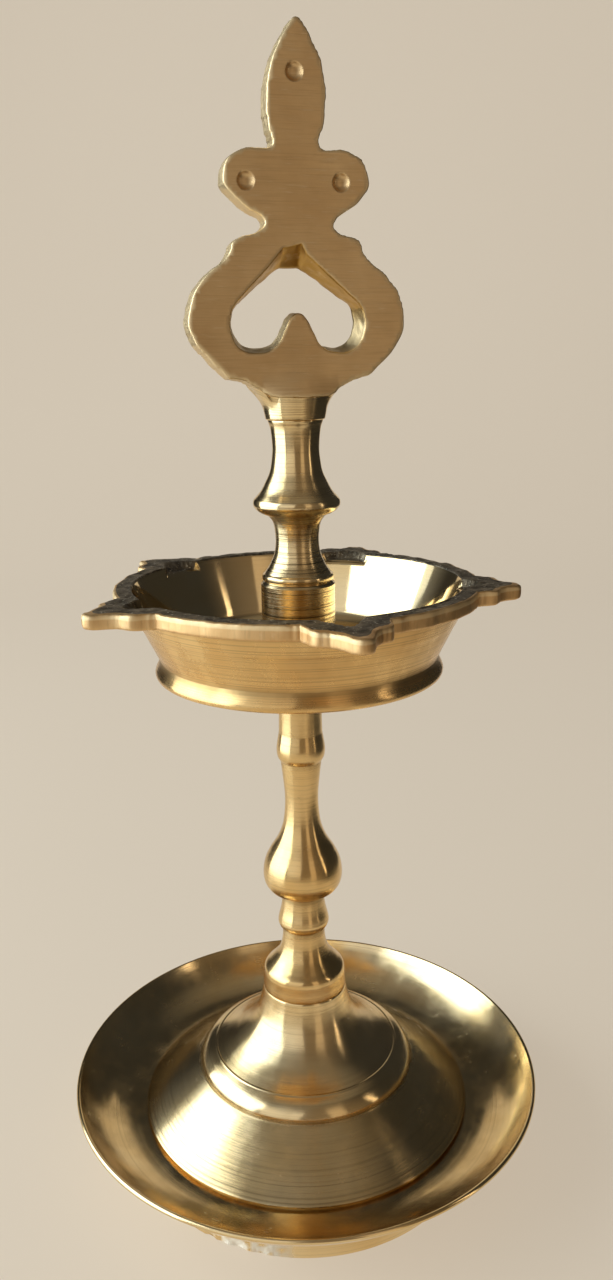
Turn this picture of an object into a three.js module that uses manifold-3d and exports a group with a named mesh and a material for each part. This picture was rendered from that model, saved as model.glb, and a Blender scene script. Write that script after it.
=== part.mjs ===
// A small turned brass oil lamp on a stem, with five wick spouts and a flat cast finial.
// Millimetres, +Z up; the front spout and the finial's drilled face look along -Y.
// The origin is on the table, under the centre of the foot.
import * as THREE from "three";
import { mergeVertices } from "three/addons/utils/BufferGeometryUtils.js";
import Module from "manifold-3d";

const wasm = await Module();
wasm.setup();

// How far a cutter reaches past the face that it cuts.
const cutterOverrun = 0.5;

// How finely round shapes are cut: sides around, and steps along one curve of an outline.
const platterSides = 44;
const bowlSides = 60;
const stemSides = 24;
const threadSides = 16;
const curveSteps = 5;
const sharedPoint = 1e-4;

// Screwed joints between the turned sections: a plain stud of the thread's outer size.
const threadRadius = 2.5;
const threadPlay = 0.2;
const threadGrip = 6.0;
const threadEndRoom = 0.4;
const threadChamfer = 0.5;

// Drip plate: a flared dish with a foot ring turned on its underside.
const footHeight = 7.2;
const footInset = 1.4;
const footWall = 2.6;
const plateFloorThickness = 1.8;
const plateFlareRun = 10.75;
const plateFlareRise = 6.9;
const plateWall = 1.3;
const plateUnderBend = 3.6;
const plateUpperBend = 5.4;
const bellMargin = 3.2;

// Bell base: a hollow turned bell that stands on the dish.
const bellFootRadius = 31.3;
const bellEdgeRise = 1.2;
const bellConeRun = 10.1;
const bellConeRise = 7.3;
const bellStep = 0.25;
const bellBandRun = 3.0;
const bellBandRise = 3.5;
const bellBandRound = 1.2;
const bellCoveRise = 12.5;
const bellCoveLead = 5.0;
const bellCoveLeadRise = 2.2;
const bellNeckRise = 6.0;
const stemSeatRadius = 8.0;
const bellWall = 2.0;
const bellBossRadius = 6.0;
const bellBossGap = 0.3;

// Screw and washer that clamp the bell to the dish from below.
const clampRadius = 2.5;
const clampGrip = 7.0;
const clampHeadRadius = 4.4;
const clampHeadHeight = 2.6;
const clampSlotWidth = 1.1;
const clampSlotDepth = 1.3;
const washerRadius = 5.5;
const washerThickness = 1.0;

// Lower stem, from its seat upwards: each feature's radius and its rise above the last one.
const shoulderRadius = 7.85;
const shoulderRise = 3.3;
const waistRadius = 4.0;
const waistRise = 9.2;
const smallBeadRadius = 4.87;
const smallBeadRise = 1.3;
const notchRadius = 4.0;
const notchRise = 5.0;
const bulbRadius = 7.5;
const bulbRise = 5.6;
const shaftRadius = 3.14;
const shaftRise = 14.6;
const collarNeckRadius = 3.8;
const collarNeckRise = 7.6;
const collarBeadRadius = 4.5;
const collarBeadRise = 2.8;
const upperShaftRadius = 3.97;
const upperShaftRise = 5.0;
const crownRadius = 6.0;
const crownRise = 8.7;
const crownEdge = 1.0;

// Oil bowl, from its underside upwards.
const bowlFootRadius = 25.2;
const bowlBead = 0.6;
const bowlBeadRise = 1.4;
const bowlWaistRadius = 24.9;
const bowlWaistRise = 1.7;
const bowlWallRun = 4.9;
const bowlWallRise = 10.5;
const bowlWall = 1.85;
const bowlRimOverhang = 2.5;
const bowlRimThickness = 2.75;
const bowlFloorThickness = 3.2;
const bowlFloorCorner = 2.4;
const bossRadius = 6.55;
const bossChamfer = 0.65;
const bossFillet = 0.9;
const bossLift = 0.25;

// Wick spouts: how far each feature lies out beyond the one before, and across the spout.
const spoutCount = 5;
const spoutShoulderRun = 3.9;
const spoutNeckRun = 1.1;
const spoutPointRun = 4.7;
const spoutHalfWidth = 6.5;
const spoutCorner = 1.9;
const spoutNeckHalfWidth = 2.5;
const spoutRootInset = 1.4;
const grooveLength = 5.7;
const grooveHalfWidth = 3.7;
const grooveDepth = 1.3;
const grooveOverrun = 3.0;

// Upper stem, from its seat on the boss upwards.
const flangeRadius = 6.3;
const flangeRise = 1.0;
const lowNeckRadius = 3.82;
const lowNeckRise = 5.8;
const ringRadius = 7.62;
const ringRise = 6.8;
const highNeckRadius = 4.06;
const highNeckRise = 9.4;
const finialSeatRadius = 4.75;
const finialSeatRise = 4.7;

// Finial collar and the swelling that carries it up into the plate.
const collarRadius = 5.7;
const collarTopRadius = 6.0;
const collarEdgeRise = 0.7;
const collarRise = 2.8;
const swellingRise = 11.1;
const swellingTopRadius = 2.25;

// Finial plate: half width of each turning point and its rise above the last one. Its back lies
// in the plane of the lamp's axis, so that the plate stands forward by half its thickness.
const plateThickness = 4.5;
const plateDraft = 0.4;
const coveHalfWidth = 12.05;
const coveRise = 3.0;
const hoopHalfWidth = 18.4;
const hoopLowerRise = 9.5;
const hoopUpperRise = 9.2;
const bumpHalfWidth = 12.15;
const bumpRise = 3.75;
const neckHalfWidth = 6.1;
const neckRise = 1.8;
const lobeHalfWidth = 12.25;
const lobeRise = 6.5;
const lobeTopHalfWidth = 9.1;
const lobeTopRise = 4.15;
const leafFootHalfWidth = 3.6;
const leafFootRise = 1.5;
const leafHalfWidth = 4.8;
const leafRise = 6.4;
const leafPointRise = 11.45;

// How strongly the plate's outline bends between those points.
const coveBend = 1.0;
const hoopSlant = 2.5;
const hoopRound = 4.0;
const leafRound = 4.2;
const leafTaper = 1.55;

// Heart-shaped window: the bands of metal left around it, and its own features.
const windowSideBand = 6.8;
const windowBottomBand = 4.4;
const windowTopBand = 3.5;
const windowDraft = 1.3;
const windowShoulderRise = 2.5;
const windowRound = 1.0;
const windowLobeHalfWidth = 6.9;
const cuspRise = 6.1;
const cuspHalfWidth = 2.0;

// Dimples drilled in the plate's face, one on the leaf and one on each lobe.
const dimpleRadius = 1.6;
const dimplePointRadius = 0.5;
const dimpleDepth = 0.6;
const leafDimpleRise = 3.3;
const lobeDimpleSpacing = 15.5;
const lobeDimpleDrop = 0.5;

// Sizes that follow from the ones above: bores, radii and the height of each seat.
const socketRadius = threadRadius + threadPlay;
const socketDepth = threadGrip + threadEndRoom;
const clampBore = clampRadius + threadPlay;
const plateTop = footHeight + plateFloorThickness;
const plateFloorRadius = bellFootRadius + bellMargin;
const plateRimRadius = plateFloorRadius + plateFlareRun;
const plateRimTop = plateTop + plateFlareRise;
const bellLowerRing = bellFootRadius - bellConeRun;
const bellUpperRing = bellLowerRing - bellBandRun;
const bellLowerRingTop = bellEdgeRise + bellConeRise;
const bellUpperRingTop = bellLowerRingTop + bellBandRise;
const bellTop = bellUpperRingTop + bellCoveRise;
const rimFoot = bowlBeadRise + bowlWaistRise + bowlWallRise;
const rimTop = rimFoot + bowlRimThickness;
const wallTopRadius = bowlWaistRadius + bowlWallRun;
const rimRadius = wallTopRadius + bowlRimOverhang;
const wallSlope = bowlWallRun / bowlWallRise;
const mouthRadius = wallTopRadius + wallSlope * bowlRimThickness - bowlWall;
const bossTop = rimTop + bossLift;
const bossSeatRadius = bossRadius - bossChamfer;

// Materials.
const polishedBrass = new THREE.MeshStandardMaterial({
  color: 0xc9a964,
  roughness: 0.12,
  metalness: 1,
});
const groundBrass = new THREE.MeshStandardMaterial({
  color: 0xb08f5c,
  roughness: 0.38,
  metalness: 1,
});
const plainSteel = new THREE.MeshStandardMaterial({
  color: 0x9a9c9f,
  roughness: 0.35,
  metalness: 1,
});

// A solid from a closed three.js geometry.
function solidFrom(geometry) {
  const bare = geometry.index ? geometry.toNonIndexed() : geometry.clone();
  bare.deleteAttribute("normal");
  bare.deleteAttribute("uv");
  const merged = mergeVertices(bare, sharedPoint);
  const mesh = new wasm.Mesh({
    numProp: 3,
    vertProperties: merged.attributes.position.array,
    triVerts: new Uint32Array(merged.index.array),
  });
  return new wasm.Manifold(mesh);
}

// A three.js geometry with a solid's vertices and triangles.
function geometryFrom(solid) {
  const mesh = solid.getMesh();
  const geometry = new THREE.BufferGeometry();
  geometry.setAttribute("position", new THREE.BufferAttribute(mesh.vertProperties, 3));
  geometry.setIndex(new THREE.BufferAttribute(mesh.triVerts, 1));
  geometry.computeVertexNormals();
  return geometry;
}

// Turns an outline of radius and height round the Z axis. It runs from the axis outwards along
// the underside, up the outside and back, or closes on itself in the same sense.
function turned(outline, sides) {
  const points = outline.getPoints(curveSteps);
  return new THREE.LatheGeometry(points, sides).rotateX(Math.PI / 2);
}

// Carries an outline up to a new radius by a curve that leaves and arrives along the axis.
// Two shares of its rise say how firmly it keeps to the old radius and to the new one.
function swell(outline, { radius, rise, leave, arrive }) {
  const from = outline.currentPoint.clone();
  const top = from.y + rise;
  outline.bezierCurveTo(
    from.x,
    from.y + leave * rise,
    radius,
    top - arrive * rise,
    radius,
    top,
  );
}

// Starts an outline in a threaded socket of the underside and leaves it at the socket's mouth.
function startAtSocket() {
  const outline = new THREE.Path();
  outline.moveTo(0, socketDepth);
  outline.lineTo(socketRadius, socketDepth);
  outline.lineTo(socketRadius, 0);
  return outline;
}

// Ends an outline across the top face and down a threaded socket to the axis.
function endAtSocket(outline) {
  const top = outline.currentPoint.y;
  outline.lineTo(socketRadius, top);
  outline.lineTo(socketRadius, top - socketDepth);
  outline.lineTo(0, top - socketDepth);
}

// Stud centred on its joint: half of it sits in the section below and half in the one above.
function studGeometry() {
  const outline = new THREE.Path();
  outline.moveTo(0, -threadGrip);
  outline.lineTo(threadRadius - threadChamfer, -threadGrip);
  outline.lineTo(threadRadius, threadChamfer - threadGrip);
  outline.lineTo(threadRadius, threadGrip - threadChamfer);
  outline.lineTo(threadRadius - threadChamfer, threadGrip);
  outline.lineTo(0, threadGrip);
  return turned(outline, threadSides);
}

// Dish with its foot ring, and the hole for the clamp screw in the middle.
function dripPlateGeometry() {
  const footRadius = plateFloorRadius - footInset;
  const lip = plateWall / 2;
  const lipRadius = plateRimRadius - lip;
  const outline = new THREE.Path();
  outline.moveTo(clampBore, footHeight);
  outline.lineTo(footRadius - footWall, footHeight);
  outline.lineTo(footRadius - footWall, 0);
  outline.lineTo(footRadius, 0);
  outline.lineTo(footRadius, footHeight);
  outline.quadraticCurveTo(
    lipRadius - plateUnderBend,
    footHeight + lip,
    lipRadius,
    plateRimTop - plateWall,
  );
  outline.quadraticCurveTo(
    plateRimRadius,
    plateRimTop - plateWall,
    plateRimRadius,
    plateRimTop - lip,
  );
  outline.quadraticCurveTo(plateRimRadius, plateRimTop, lipRadius, plateRimTop);
  outline.quadraticCurveTo(
    lipRadius - plateUpperBend,
    plateTop + lip,
    plateFloorRadius,
    plateTop,
  );
  outline.lineTo(clampBore, plateTop);
  outline.lineTo(clampBore, footHeight);
  return turned(outline, platterSides);
}

// Outside of the bell, from its bottom edge up to the seat of the lower stem.
function addBellOutside(outline) {
  const band = bellLowerRing - bellStep;
  outline.lineTo(bellFootRadius, 0);
  outline.lineTo(bellFootRadius, bellEdgeRise);
  outline.lineTo(bellLowerRing, bellLowerRingTop);
  outline.lineTo(band, bellLowerRingTop);
  outline.quadraticCurveTo(
    band,
    bellUpperRingTop - bellBandRound,
    bellUpperRing,
    bellUpperRingTop,
  );
  outline.bezierCurveTo(
    bellUpperRing - bellCoveLead,
    bellUpperRingTop + bellCoveLeadRise,
    stemSeatRadius,
    bellTop - bellNeckRise,
    stemSeatRadius,
    bellTop,
  );
}

// Hollow bell: inside it a boss comes down to take the clamp screw.
function bellBaseGeometry() {
  const boreTop = bellBossGap + clampGrip + threadEndRoom;
  const ceiling = bellUpperRingTop - bellWall;
  const wallAcross = bellWall * Math.hypot(1, bellConeRun / bellConeRise);
  const outline = new THREE.Path();
  outline.moveTo(0, boreTop);
  outline.lineTo(clampBore, boreTop);
  outline.lineTo(clampBore, bellBossGap);
  outline.lineTo(bellBossRadius, bellBossGap);
  outline.lineTo(bellBossRadius, ceiling - bellWall);
  outline.quadraticCurveTo(bellBossRadius, ceiling, bellBossRadius + bellWall, ceiling);
  outline.lineTo(bellUpperRing - 2 * bellWall, ceiling);
  outline.lineTo(bellFootRadius - wallAcross, 0);
  addBellOutside(outline);
  endAtSocket(outline);
  return turned(outline, platterSides);
}

// Slotted screw, head down. Its origin lies in the plane where the head bears.
function clampScrewGeometry() {
  const length = washerThickness + plateFloorThickness + bellBossGap + clampGrip;
  const outline = new THREE.Path();
  outline.moveTo(0, -clampHeadHeight);
  outline.quadraticCurveTo(clampHeadRadius, -clampHeadHeight, clampHeadRadius, 0);
  outline.lineTo(clampRadius, 0);
  outline.lineTo(clampRadius, length - threadChamfer);
  outline.lineTo(clampRadius - threadChamfer, length);
  outline.lineTo(0, length);
  const blank = solidFrom(turned(outline, threadSides));
  const slot = new THREE.BoxGeometry(3 * clampHeadRadius, clampSlotWidth, 2 * clampSlotDepth);
  slot.translate(0, 0, -clampHeadHeight);
  return geometryFrom(blank.subtract(solidFrom(slot)));
}

function washerGeometry() {
  const outline = new THREE.Path();
  outline.moveTo(clampBore, 0);
  outline.lineTo(washerRadius, 0);
  outline.lineTo(washerRadius, washerThickness);
  outline.lineTo(clampBore, washerThickness);
  outline.lineTo(clampBore, 0);
  return turned(outline, stemSides);
}

// Baluster under the bowl: shoulder, small bead, bulb, slender shaft, collar bead and crown.
function lowerStemGeometry() {
  const outline = startAtSocket();
  outline.lineTo(stemSeatRadius, 0);
  outline.lineTo(shoulderRadius, shoulderRise);
  swell(outline, { radius: waistRadius, rise: waistRise, leave: 0.22, arrive: 0.65 });
  swell(outline, { radius: smallBeadRadius, rise: smallBeadRise, leave: 0.3, arrive: 0.4 });
  swell(outline, { radius: notchRadius, rise: notchRise, leave: 0.2, arrive: 0.4 });
  swell(outline, { radius: bulbRadius, rise: bulbRise, leave: 0.14, arrive: 0.6 });
  swell(outline, { radius: shaftRadius, rise: shaftRise, leave: 0.3, arrive: 0.52 });
  swell(outline, { radius: collarNeckRadius, rise: collarNeckRise, leave: 0.5, arrive: 0.1 });
  swell(outline, { radius: collarBeadRadius, rise: collarBeadRise, leave: 0.1, arrive: 0.4 });
  swell(outline, { radius: upperShaftRadius, rise: upperShaftRise, leave: 0.2, arrive: 0.6 });
  swell(outline, { radius: crownRadius, rise: crownRise, leave: 0.7, arrive: 0.05 });
  outline.lineTo(crownRadius, outline.currentPoint.y + crownEdge);
  endAtSocket(outline);
  return turned(outline, stemSides);
}

const lowerStemHeight =
  shoulderRise +
  waistRise +
  smallBeadRise +
  notchRise +
  bulbRise +
  shaftRise +
  collarNeckRise +
  collarBeadRise +
  upperShaftRise +
  crownRise +
  crownEdge;

// Outside of the bowl, from its underside up to the mouth.
function addBowlOutside(outline) {
  const waist = bowlBeadRise + bowlWaistRise;
  const bead = bowlFootRadius + bowlBead;
  outline.lineTo(bowlFootRadius, 0);
  outline.quadraticCurveTo(bead, 0, bead, bowlBeadRise);
  outline.quadraticCurveTo(bead, waist - bowlBead, bowlWaistRadius, waist);
  outline.lineTo(wallTopRadius, rimFoot);
  outline.lineTo(rimRadius, rimFoot);
  outline.lineTo(rimRadius, rimTop);
  outline.lineTo(mouthRadius, rimTop);
}

// Polished well of the bowl, from the mouth down the wall, across the floor and up the boss.
function addBowlInside(outline) {
  const cornerTop = bowlFloorThickness + bowlFloorCorner;
  const cornerRadius = mouthRadius - wallSlope * (rimTop - cornerTop);
  const bossFoot = bossRadius + bossFillet;
  outline.lineTo(cornerRadius, cornerTop);
  outline.quadraticCurveTo(
    cornerRadius - wallSlope * bowlFloorCorner,
    bowlFloorThickness,
    cornerRadius - 2 * bowlFloorCorner,
    bowlFloorThickness,
  );
  outline.lineTo(bossFoot, bowlFloorThickness);
  outline.quadraticCurveTo(
    bossRadius,
    bowlFloorThickness,
    bossRadius,
    bowlFloorThickness + bossFillet,
  );
  outline.lineTo(bossRadius, bossTop - bossChamfer);
  outline.lineTo(bossSeatRadius, bossTop);
}

function bowlBodyGeometry() {
  const outline = startAtSocket();
  addBowlOutside(outline);
  addBowlInside(outline);
  endAtSocket(outline);
  return turned(outline, bowlSides);
}

// Joins a half outline, drawn from one end of its axis to the other, to its mirror image.
function mirroredShape(half) {
  const points = half.getPoints(curveSteps);
  const mirrored = points.slice(1, -1).map((point) => new THREE.Vector2(-point.x, point.y));
  return new THREE.Shape([...points, ...mirrored.reverse()]);
}

// Plan of a spout that points along -Y: square shoulders, then a hollow-sided point.
function spoutPlan() {
  const shoulder = rimRadius + spoutShoulderRun;
  const neck = shoulder + spoutNeckRun;
  const tip = neck + spoutPointRun;
  const half = new THREE.Path();
  half.moveTo(0, -(rimRadius - spoutRootInset));
  half.lineTo(spoutHalfWidth, -(rimRadius - spoutRootInset));
  half.lineTo(spoutHalfWidth, spoutCorner - shoulder);
  half.quadraticCurveTo(spoutHalfWidth, -shoulder, spoutHalfWidth - spoutCorner, -shoulder);
  half.quadraticCurveTo(spoutNeckHalfWidth, -shoulder, spoutNeckHalfWidth, -neck);
  half.quadraticCurveTo(spoutNeckHalfWidth / 2, -(neck + tip) / 2, 0, -tip);
  return mirroredShape(half);
}

// Spout as thick as the rim that it grows from.
function spoutGeometry() {
  const spout = new THREE.ExtrudeGeometry(spoutPlan(), {
    depth: bowlRimThickness,
    bevelEnabled: false,
  });
  return spout.translate(0, 0, rimFoot);
}

// Wedge that cuts a wick groove: its point lies on the spout's top face, and its floor falls
// towards the mouth, where it is as deep and wide as the groove.
function grooveGeometry() {
  const length = grooveLength + grooveOverrun;
  const endHalfWidth = (grooveHalfWidth * length) / grooveLength;
  const plan = new THREE.Shape();
  plan.moveTo(0, 0);
  plan.lineTo(endHalfWidth, length);
  plan.lineTo(-endHalfWidth, length);
  const wedge = new THREE.ExtrudeGeometry(plan, {
    depth: grooveDepth + bowlRimThickness,
    bevelEnabled: false,
  });
  wedge.rotateX(-Math.atan(grooveDepth / grooveLength));
  return wedge.translate(0, -(mouthRadius + grooveLength), rimTop);
}

// Bowl with its spouts joined on and their grooves cut.
function oilBowlGeometry() {
  let bowl = solidFrom(bowlBodyGeometry());
  for (let i = 0; i < spoutCount; i += 1) {
    const turn = (2 * Math.PI * i) / spoutCount;
    bowl = bowl.add(solidFrom(spoutGeometry().rotateZ(turn)));
    bowl = bowl.subtract(solidFrom(grooveGeometry().rotateZ(turn)));
  }
  return geometryFrom(bowl);
}

// Stem above the bowl: flange, neck, disc-like ring, neck and the seat of the finial.
function upperStemGeometry() {
  const outline = startAtSocket();
  outline.lineTo(bossSeatRadius, 0);
  outline.quadraticCurveTo(flangeRadius, 0, flangeRadius, flangeRise / 2);
  outline.lineTo(flangeRadius, flangeRise);
  swell(outline, { radius: lowNeckRadius, rise: lowNeckRise, leave: 0.2, arrive: 0.6 });
  swell(outline, { radius: ringRadius, rise: ringRise, leave: 0.72, arrive: 0.3 });
  swell(outline, { radius: highNeckRadius, rise: highNeckRise, leave: 0.15, arrive: 0.55 });
  swell(outline, { radius: finialSeatRadius, rise: finialSeatRise, leave: 0.5, arrive: 0.2 });
  endAtSocket(outline);
  return turned(outline, stemSides);
}

const upperStemHeight =
  flangeRise + lowNeckRise + ringRise + highNeckRise + finialSeatRise;

// Heights on the finial, above its seat.
const collarTop = collarEdgeRise + collarRise;
const coveTop = collarTop + coveRise;
const hoopMiddle = coveTop + hoopLowerRise;
const hoopTop = hoopMiddle + hoopUpperRise;
const bumpTop = hoopTop + bumpRise;
const neckTop = bumpTop + neckRise;
const lobeMiddle = neckTop + lobeRise;
const lobeTop = lobeMiddle + lobeTopRise;
const leafFoot = lobeTop + leafFootRise;
const leafMiddle = leafFoot + leafRise;
const leafPoint = leafMiddle + leafPointRise;

// How far the plate's middle lies in front of the lamp's axis.
const plateForward = plateThickness / 2;

// Half outline of the plate's foot, hoop and neck, from the collar upwards.
function addHoop(half) {
  half.moveTo(0, collarTop);
  half.lineTo(collarTopRadius, collarTop);
  half.quadraticCurveTo(
    collarTopRadius + coveBend,
    coveTop - coveBend,
    coveHalfWidth,
    coveTop,
  );
  half.bezierCurveTo(
    (coveHalfWidth + hoopHalfWidth) / 2,
    coveTop + hoopSlant,
    hoopHalfWidth,
    hoopMiddle - hoopRound,
    hoopHalfWidth,
    hoopMiddle,
  );
  half.bezierCurveTo(
    hoopHalfWidth,
    hoopMiddle + hoopRound,
    (bumpHalfWidth + hoopHalfWidth) / 2,
    hoopTop - hoopSlant,
    bumpHalfWidth,
    hoopTop,
  );
  half.quadraticCurveTo(bumpHalfWidth, bumpTop, (bumpHalfWidth + neckHalfWidth) / 2, bumpTop);
  half.quadraticCurveTo(neckHalfWidth, bumpTop, neckHalfWidth, neckTop);
}

// Half outline of the lobe and the leaf above it, up to the leaf's point.
function addLeaf(half) {
  swell(half, { radius: lobeHalfWidth, rise: lobeRise, leave: 0.3, arrive: 0.64 });
  half.quadraticCurveTo(lobeHalfWidth, lobeTop, lobeTopHalfWidth, lobeTop);
  half.lineTo(leafFootHalfWidth + leafFootRise / 2, lobeTop);
  half.quadraticCurveTo(leafFootHalfWidth, lobeTop, leafFootHalfWidth, leafFoot);
  half.quadraticCurveTo(leafHalfWidth, leafFoot + leafRise / 3, leafHalfWidth, leafMiddle);
  half.bezierCurveTo(
    leafHalfWidth,
    leafMiddle + leafRound,
    leafHalfWidth - leafTaper,
    leafPoint - leafRound,
    0,
    leafPoint,
  );
}

function platePlan() {
  const half = new THREE.Path();
  addHoop(half);
  addLeaf(half);
  return mirroredShape(half);
}

// Inverted heart: its point is at the top and a rounded cusp rises between the two lobes.
function windowPlan() {
  const halfWidth = hoopHalfWidth - windowSideBand;
  const bottom = coveTop + windowBottomBand;
  const cusp = bottom + cuspRise;
  const half = new THREE.Path();
  half.moveTo(0, cusp);
  half.bezierCurveTo(
    cuspHalfWidth,
    cusp,
    windowLobeHalfWidth / 2,
    bottom,
    windowLobeHalfWidth,
    bottom,
  );
  half.bezierCurveTo(
    halfWidth,
    bottom,
    halfWidth + windowRound,
    hoopMiddle,
    halfWidth - windowRound,
    hoopMiddle + windowShoulderRise,
  );
  half.lineTo(0, neckTop - windowTopBand);
  return mirroredShape(half);
}

// Plate that stands forward of the axis, with walls that spread from the front face to the back.
// The draft is how far the back outline's extremes lie outside the front ones.
function draftedPlate(plan, thickness, draft) {
  const plate = new THREE.ExtrudeGeometry(plan, { depth: thickness, bevelEnabled: false });
  plate.computeBoundingBox();
  const middle = plate.boundingBox.getCenter(new THREE.Vector3());
  const size = plate.boundingBox.getSize(new THREE.Vector3());
  const position = plate.attributes.position;
  for (let i = 0; i < position.count; i += 1) {
    const share = 1 - position.getZ(i) / thickness;
    const across = position.getX(i) - middle.x;
    const up = position.getY(i) - middle.y;
    position.setX(i, middle.x + across * (1 + (2 * draft * share) / size.x));
    position.setY(i, middle.y + up * (1 + (2 * draft * share) / size.y));
  }
  return plate.rotateX(Math.PI / 2).translate(0, thickness / 2 - plateForward, 0);
}

// Round collar and the swelling that narrows upwards until it is as thick as the plate.
function finialCollarGeometry() {
  const outline = new THREE.Path();
  outline.moveTo(0, 0);
  outline.lineTo(finialSeatRadius, 0);
  outline.quadraticCurveTo(collarRadius, 0, collarRadius, collarEdgeRise);
  outline.lineTo(collarTopRadius, collarTop);
  outline.lineTo(swellingTopRadius, collarTop + swellingRise);
  outline.lineTo(0, collarTop + swellingRise);
  return turned(outline, stemSides);
}

// Cylinder that cuts the finial's threaded socket from below.
function socketCutterGeometry() {
  const outline = new THREE.Path();
  outline.moveTo(0, -cutterOverrun);
  outline.lineTo(socketRadius, -cutterOverrun);
  outline.lineTo(socketRadius, socketDepth);
  outline.lineTo(0, socketDepth);
  return turned(outline, stemSides);
}

// Blunt conical drill mark in the plate's front face.
function dimpleGeometry(x, z) {
  const dimple = new THREE.CylinderGeometry(
    dimplePointRadius,
    2 * dimpleRadius - dimplePointRadius,
    2 * dimpleDepth,
    threadSides,
  );
  return dimple.translate(x, -plateThickness / 2 - plateForward, z);
}

// Finial: plate with its window cut out, collar joined on and dimples drilled.
function finialGeometry() {
  const cutterThickness = plateThickness + 2 * cutterOverrun;
  const plate = solidFrom(draftedPlate(platePlan(), plateThickness, plateDraft));
  const window = solidFrom(draftedPlate(windowPlan(), cutterThickness, -windowDraft));
  let finial = plate.subtract(window);
  finial = finial.add(solidFrom(finialCollarGeometry()));
  finial = finial.subtract(solidFrom(socketCutterGeometry()));
  const marks = [
    [0, leafMiddle + leafDimpleRise],
    [-lobeDimpleSpacing / 2, lobeMiddle - lobeDimpleDrop],
    [lobeDimpleSpacing / 2, lobeMiddle - lobeDimpleDrop],
  ];
  for (const [x, z] of marks) finial = finial.subtract(solidFrom(dimpleGeometry(x, z)));
  return geometryFrom(finial);
}

// Adds a named piece to a group at a height above the group's own seat.
function place(group, name, geometry, material, height = 0) {
  const mesh = new THREE.Mesh(geometry, material);
  mesh.name = name;
  mesh.position.z = height;
  group.add(mesh);
}

// Starts the next section of the lamp on the seat of the one below.
function sectionOn(below, seatHeight) {
  const section = new THREE.Group();
  section.position.z = seatHeight;
  below.add(section);
  return section;
}

const lamp = new THREE.Group();
place(lamp, "drip_plate", dripPlateGeometry(), polishedBrass);
place(lamp, "base_washer", washerGeometry(), plainSteel, footHeight - washerThickness);
place(lamp, "base_screw", clampScrewGeometry(), plainSteel, footHeight - washerThickness);

const bellSection = sectionOn(lamp, plateTop);
place(bellSection, "bell_base", bellBaseGeometry(), polishedBrass);
place(bellSection, "stem_stud", studGeometry(), polishedBrass, bellTop);

const lowerStemSection = sectionOn(bellSection, bellTop);
place(lowerStemSection, "lower_stem", lowerStemGeometry(), polishedBrass);
place(lowerStemSection, "bowl_stud", studGeometry(), polishedBrass, lowerStemHeight);

const bowlSection = sectionOn(lowerStemSection, lowerStemHeight);
place(bowlSection, "oil_bowl", oilBowlGeometry(), polishedBrass);
place(bowlSection, "upper_stud", studGeometry(), polishedBrass, bossTop);

const upperStemSection = sectionOn(bowlSection, bossTop);
place(upperStemSection, "upper_stem", upperStemGeometry(), polishedBrass);
place(upperStemSection, "finial_stud", studGeometry(), polishedBrass, upperStemHeight);

const finialSection = sectionOn(upperStemSection, upperStemHeight);
place(finialSection, "finial", finialGeometry(), groundBrass);

export default lamp;
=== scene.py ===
# %% [markdown]
# # A standing oil lamp in turned brass
#
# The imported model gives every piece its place. Each turned piece is drawn here again as a fine
# surface of revolution, the bowl as one surface that runs out into five spouts, and the finial as
# a cast plate with a ground face. All sizes are millimetres until a mesh is made.

# %% Load the frame
import math

import bpy
import numpy as np
from mathutils import Matrix, Vector
from mathutils.geometry import delaunay_2d_cdt


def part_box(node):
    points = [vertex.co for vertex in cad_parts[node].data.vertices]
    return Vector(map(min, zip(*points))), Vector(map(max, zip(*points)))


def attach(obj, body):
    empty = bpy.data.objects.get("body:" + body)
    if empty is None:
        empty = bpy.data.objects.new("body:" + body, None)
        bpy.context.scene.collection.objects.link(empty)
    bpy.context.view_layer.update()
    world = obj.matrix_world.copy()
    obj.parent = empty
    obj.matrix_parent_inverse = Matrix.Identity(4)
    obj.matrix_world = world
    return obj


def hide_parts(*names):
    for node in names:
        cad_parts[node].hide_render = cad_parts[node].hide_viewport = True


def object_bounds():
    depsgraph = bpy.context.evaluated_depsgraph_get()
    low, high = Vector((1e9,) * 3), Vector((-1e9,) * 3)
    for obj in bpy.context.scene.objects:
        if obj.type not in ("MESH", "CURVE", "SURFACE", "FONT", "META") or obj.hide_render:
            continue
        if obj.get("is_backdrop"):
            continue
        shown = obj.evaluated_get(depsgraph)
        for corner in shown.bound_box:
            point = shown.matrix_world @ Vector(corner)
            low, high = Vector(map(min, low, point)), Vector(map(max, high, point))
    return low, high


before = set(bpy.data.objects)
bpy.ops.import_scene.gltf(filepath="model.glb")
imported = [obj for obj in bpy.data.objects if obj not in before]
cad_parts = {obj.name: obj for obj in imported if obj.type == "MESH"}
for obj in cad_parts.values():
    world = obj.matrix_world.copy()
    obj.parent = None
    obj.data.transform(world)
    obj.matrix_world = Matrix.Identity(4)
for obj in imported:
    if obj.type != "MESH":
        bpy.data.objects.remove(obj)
cad_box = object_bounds()

MM = 0.001
# Millimetres along an outline for one unit of V.
UV_UNIT = 10.0


def seat(node):
    """Height of a CAD node's underside above the floor, in millimetres."""
    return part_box(node)[0].z / MM


def top(node):
    """Height of a CAD node's top above the floor, in millimetres."""
    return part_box(node)[1].z / MM


# %% [markdown]
# ## Curves and surfaces
#
# On the real lamp nearly every piece is turned on a lathe, so its whole shape is one outline.
# Blender's Screw modifier could sweep a drawn outline round the axis. Here numpy works out the
# same grid of vertices, rows along the outline and sides round the axis, because then a thread,
# a nick or a spout can be bent into it, and its UV map can follow the turning. An outline is a
# list of short curves, each through a few measured points of radius and height.

# %% Curves


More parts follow.
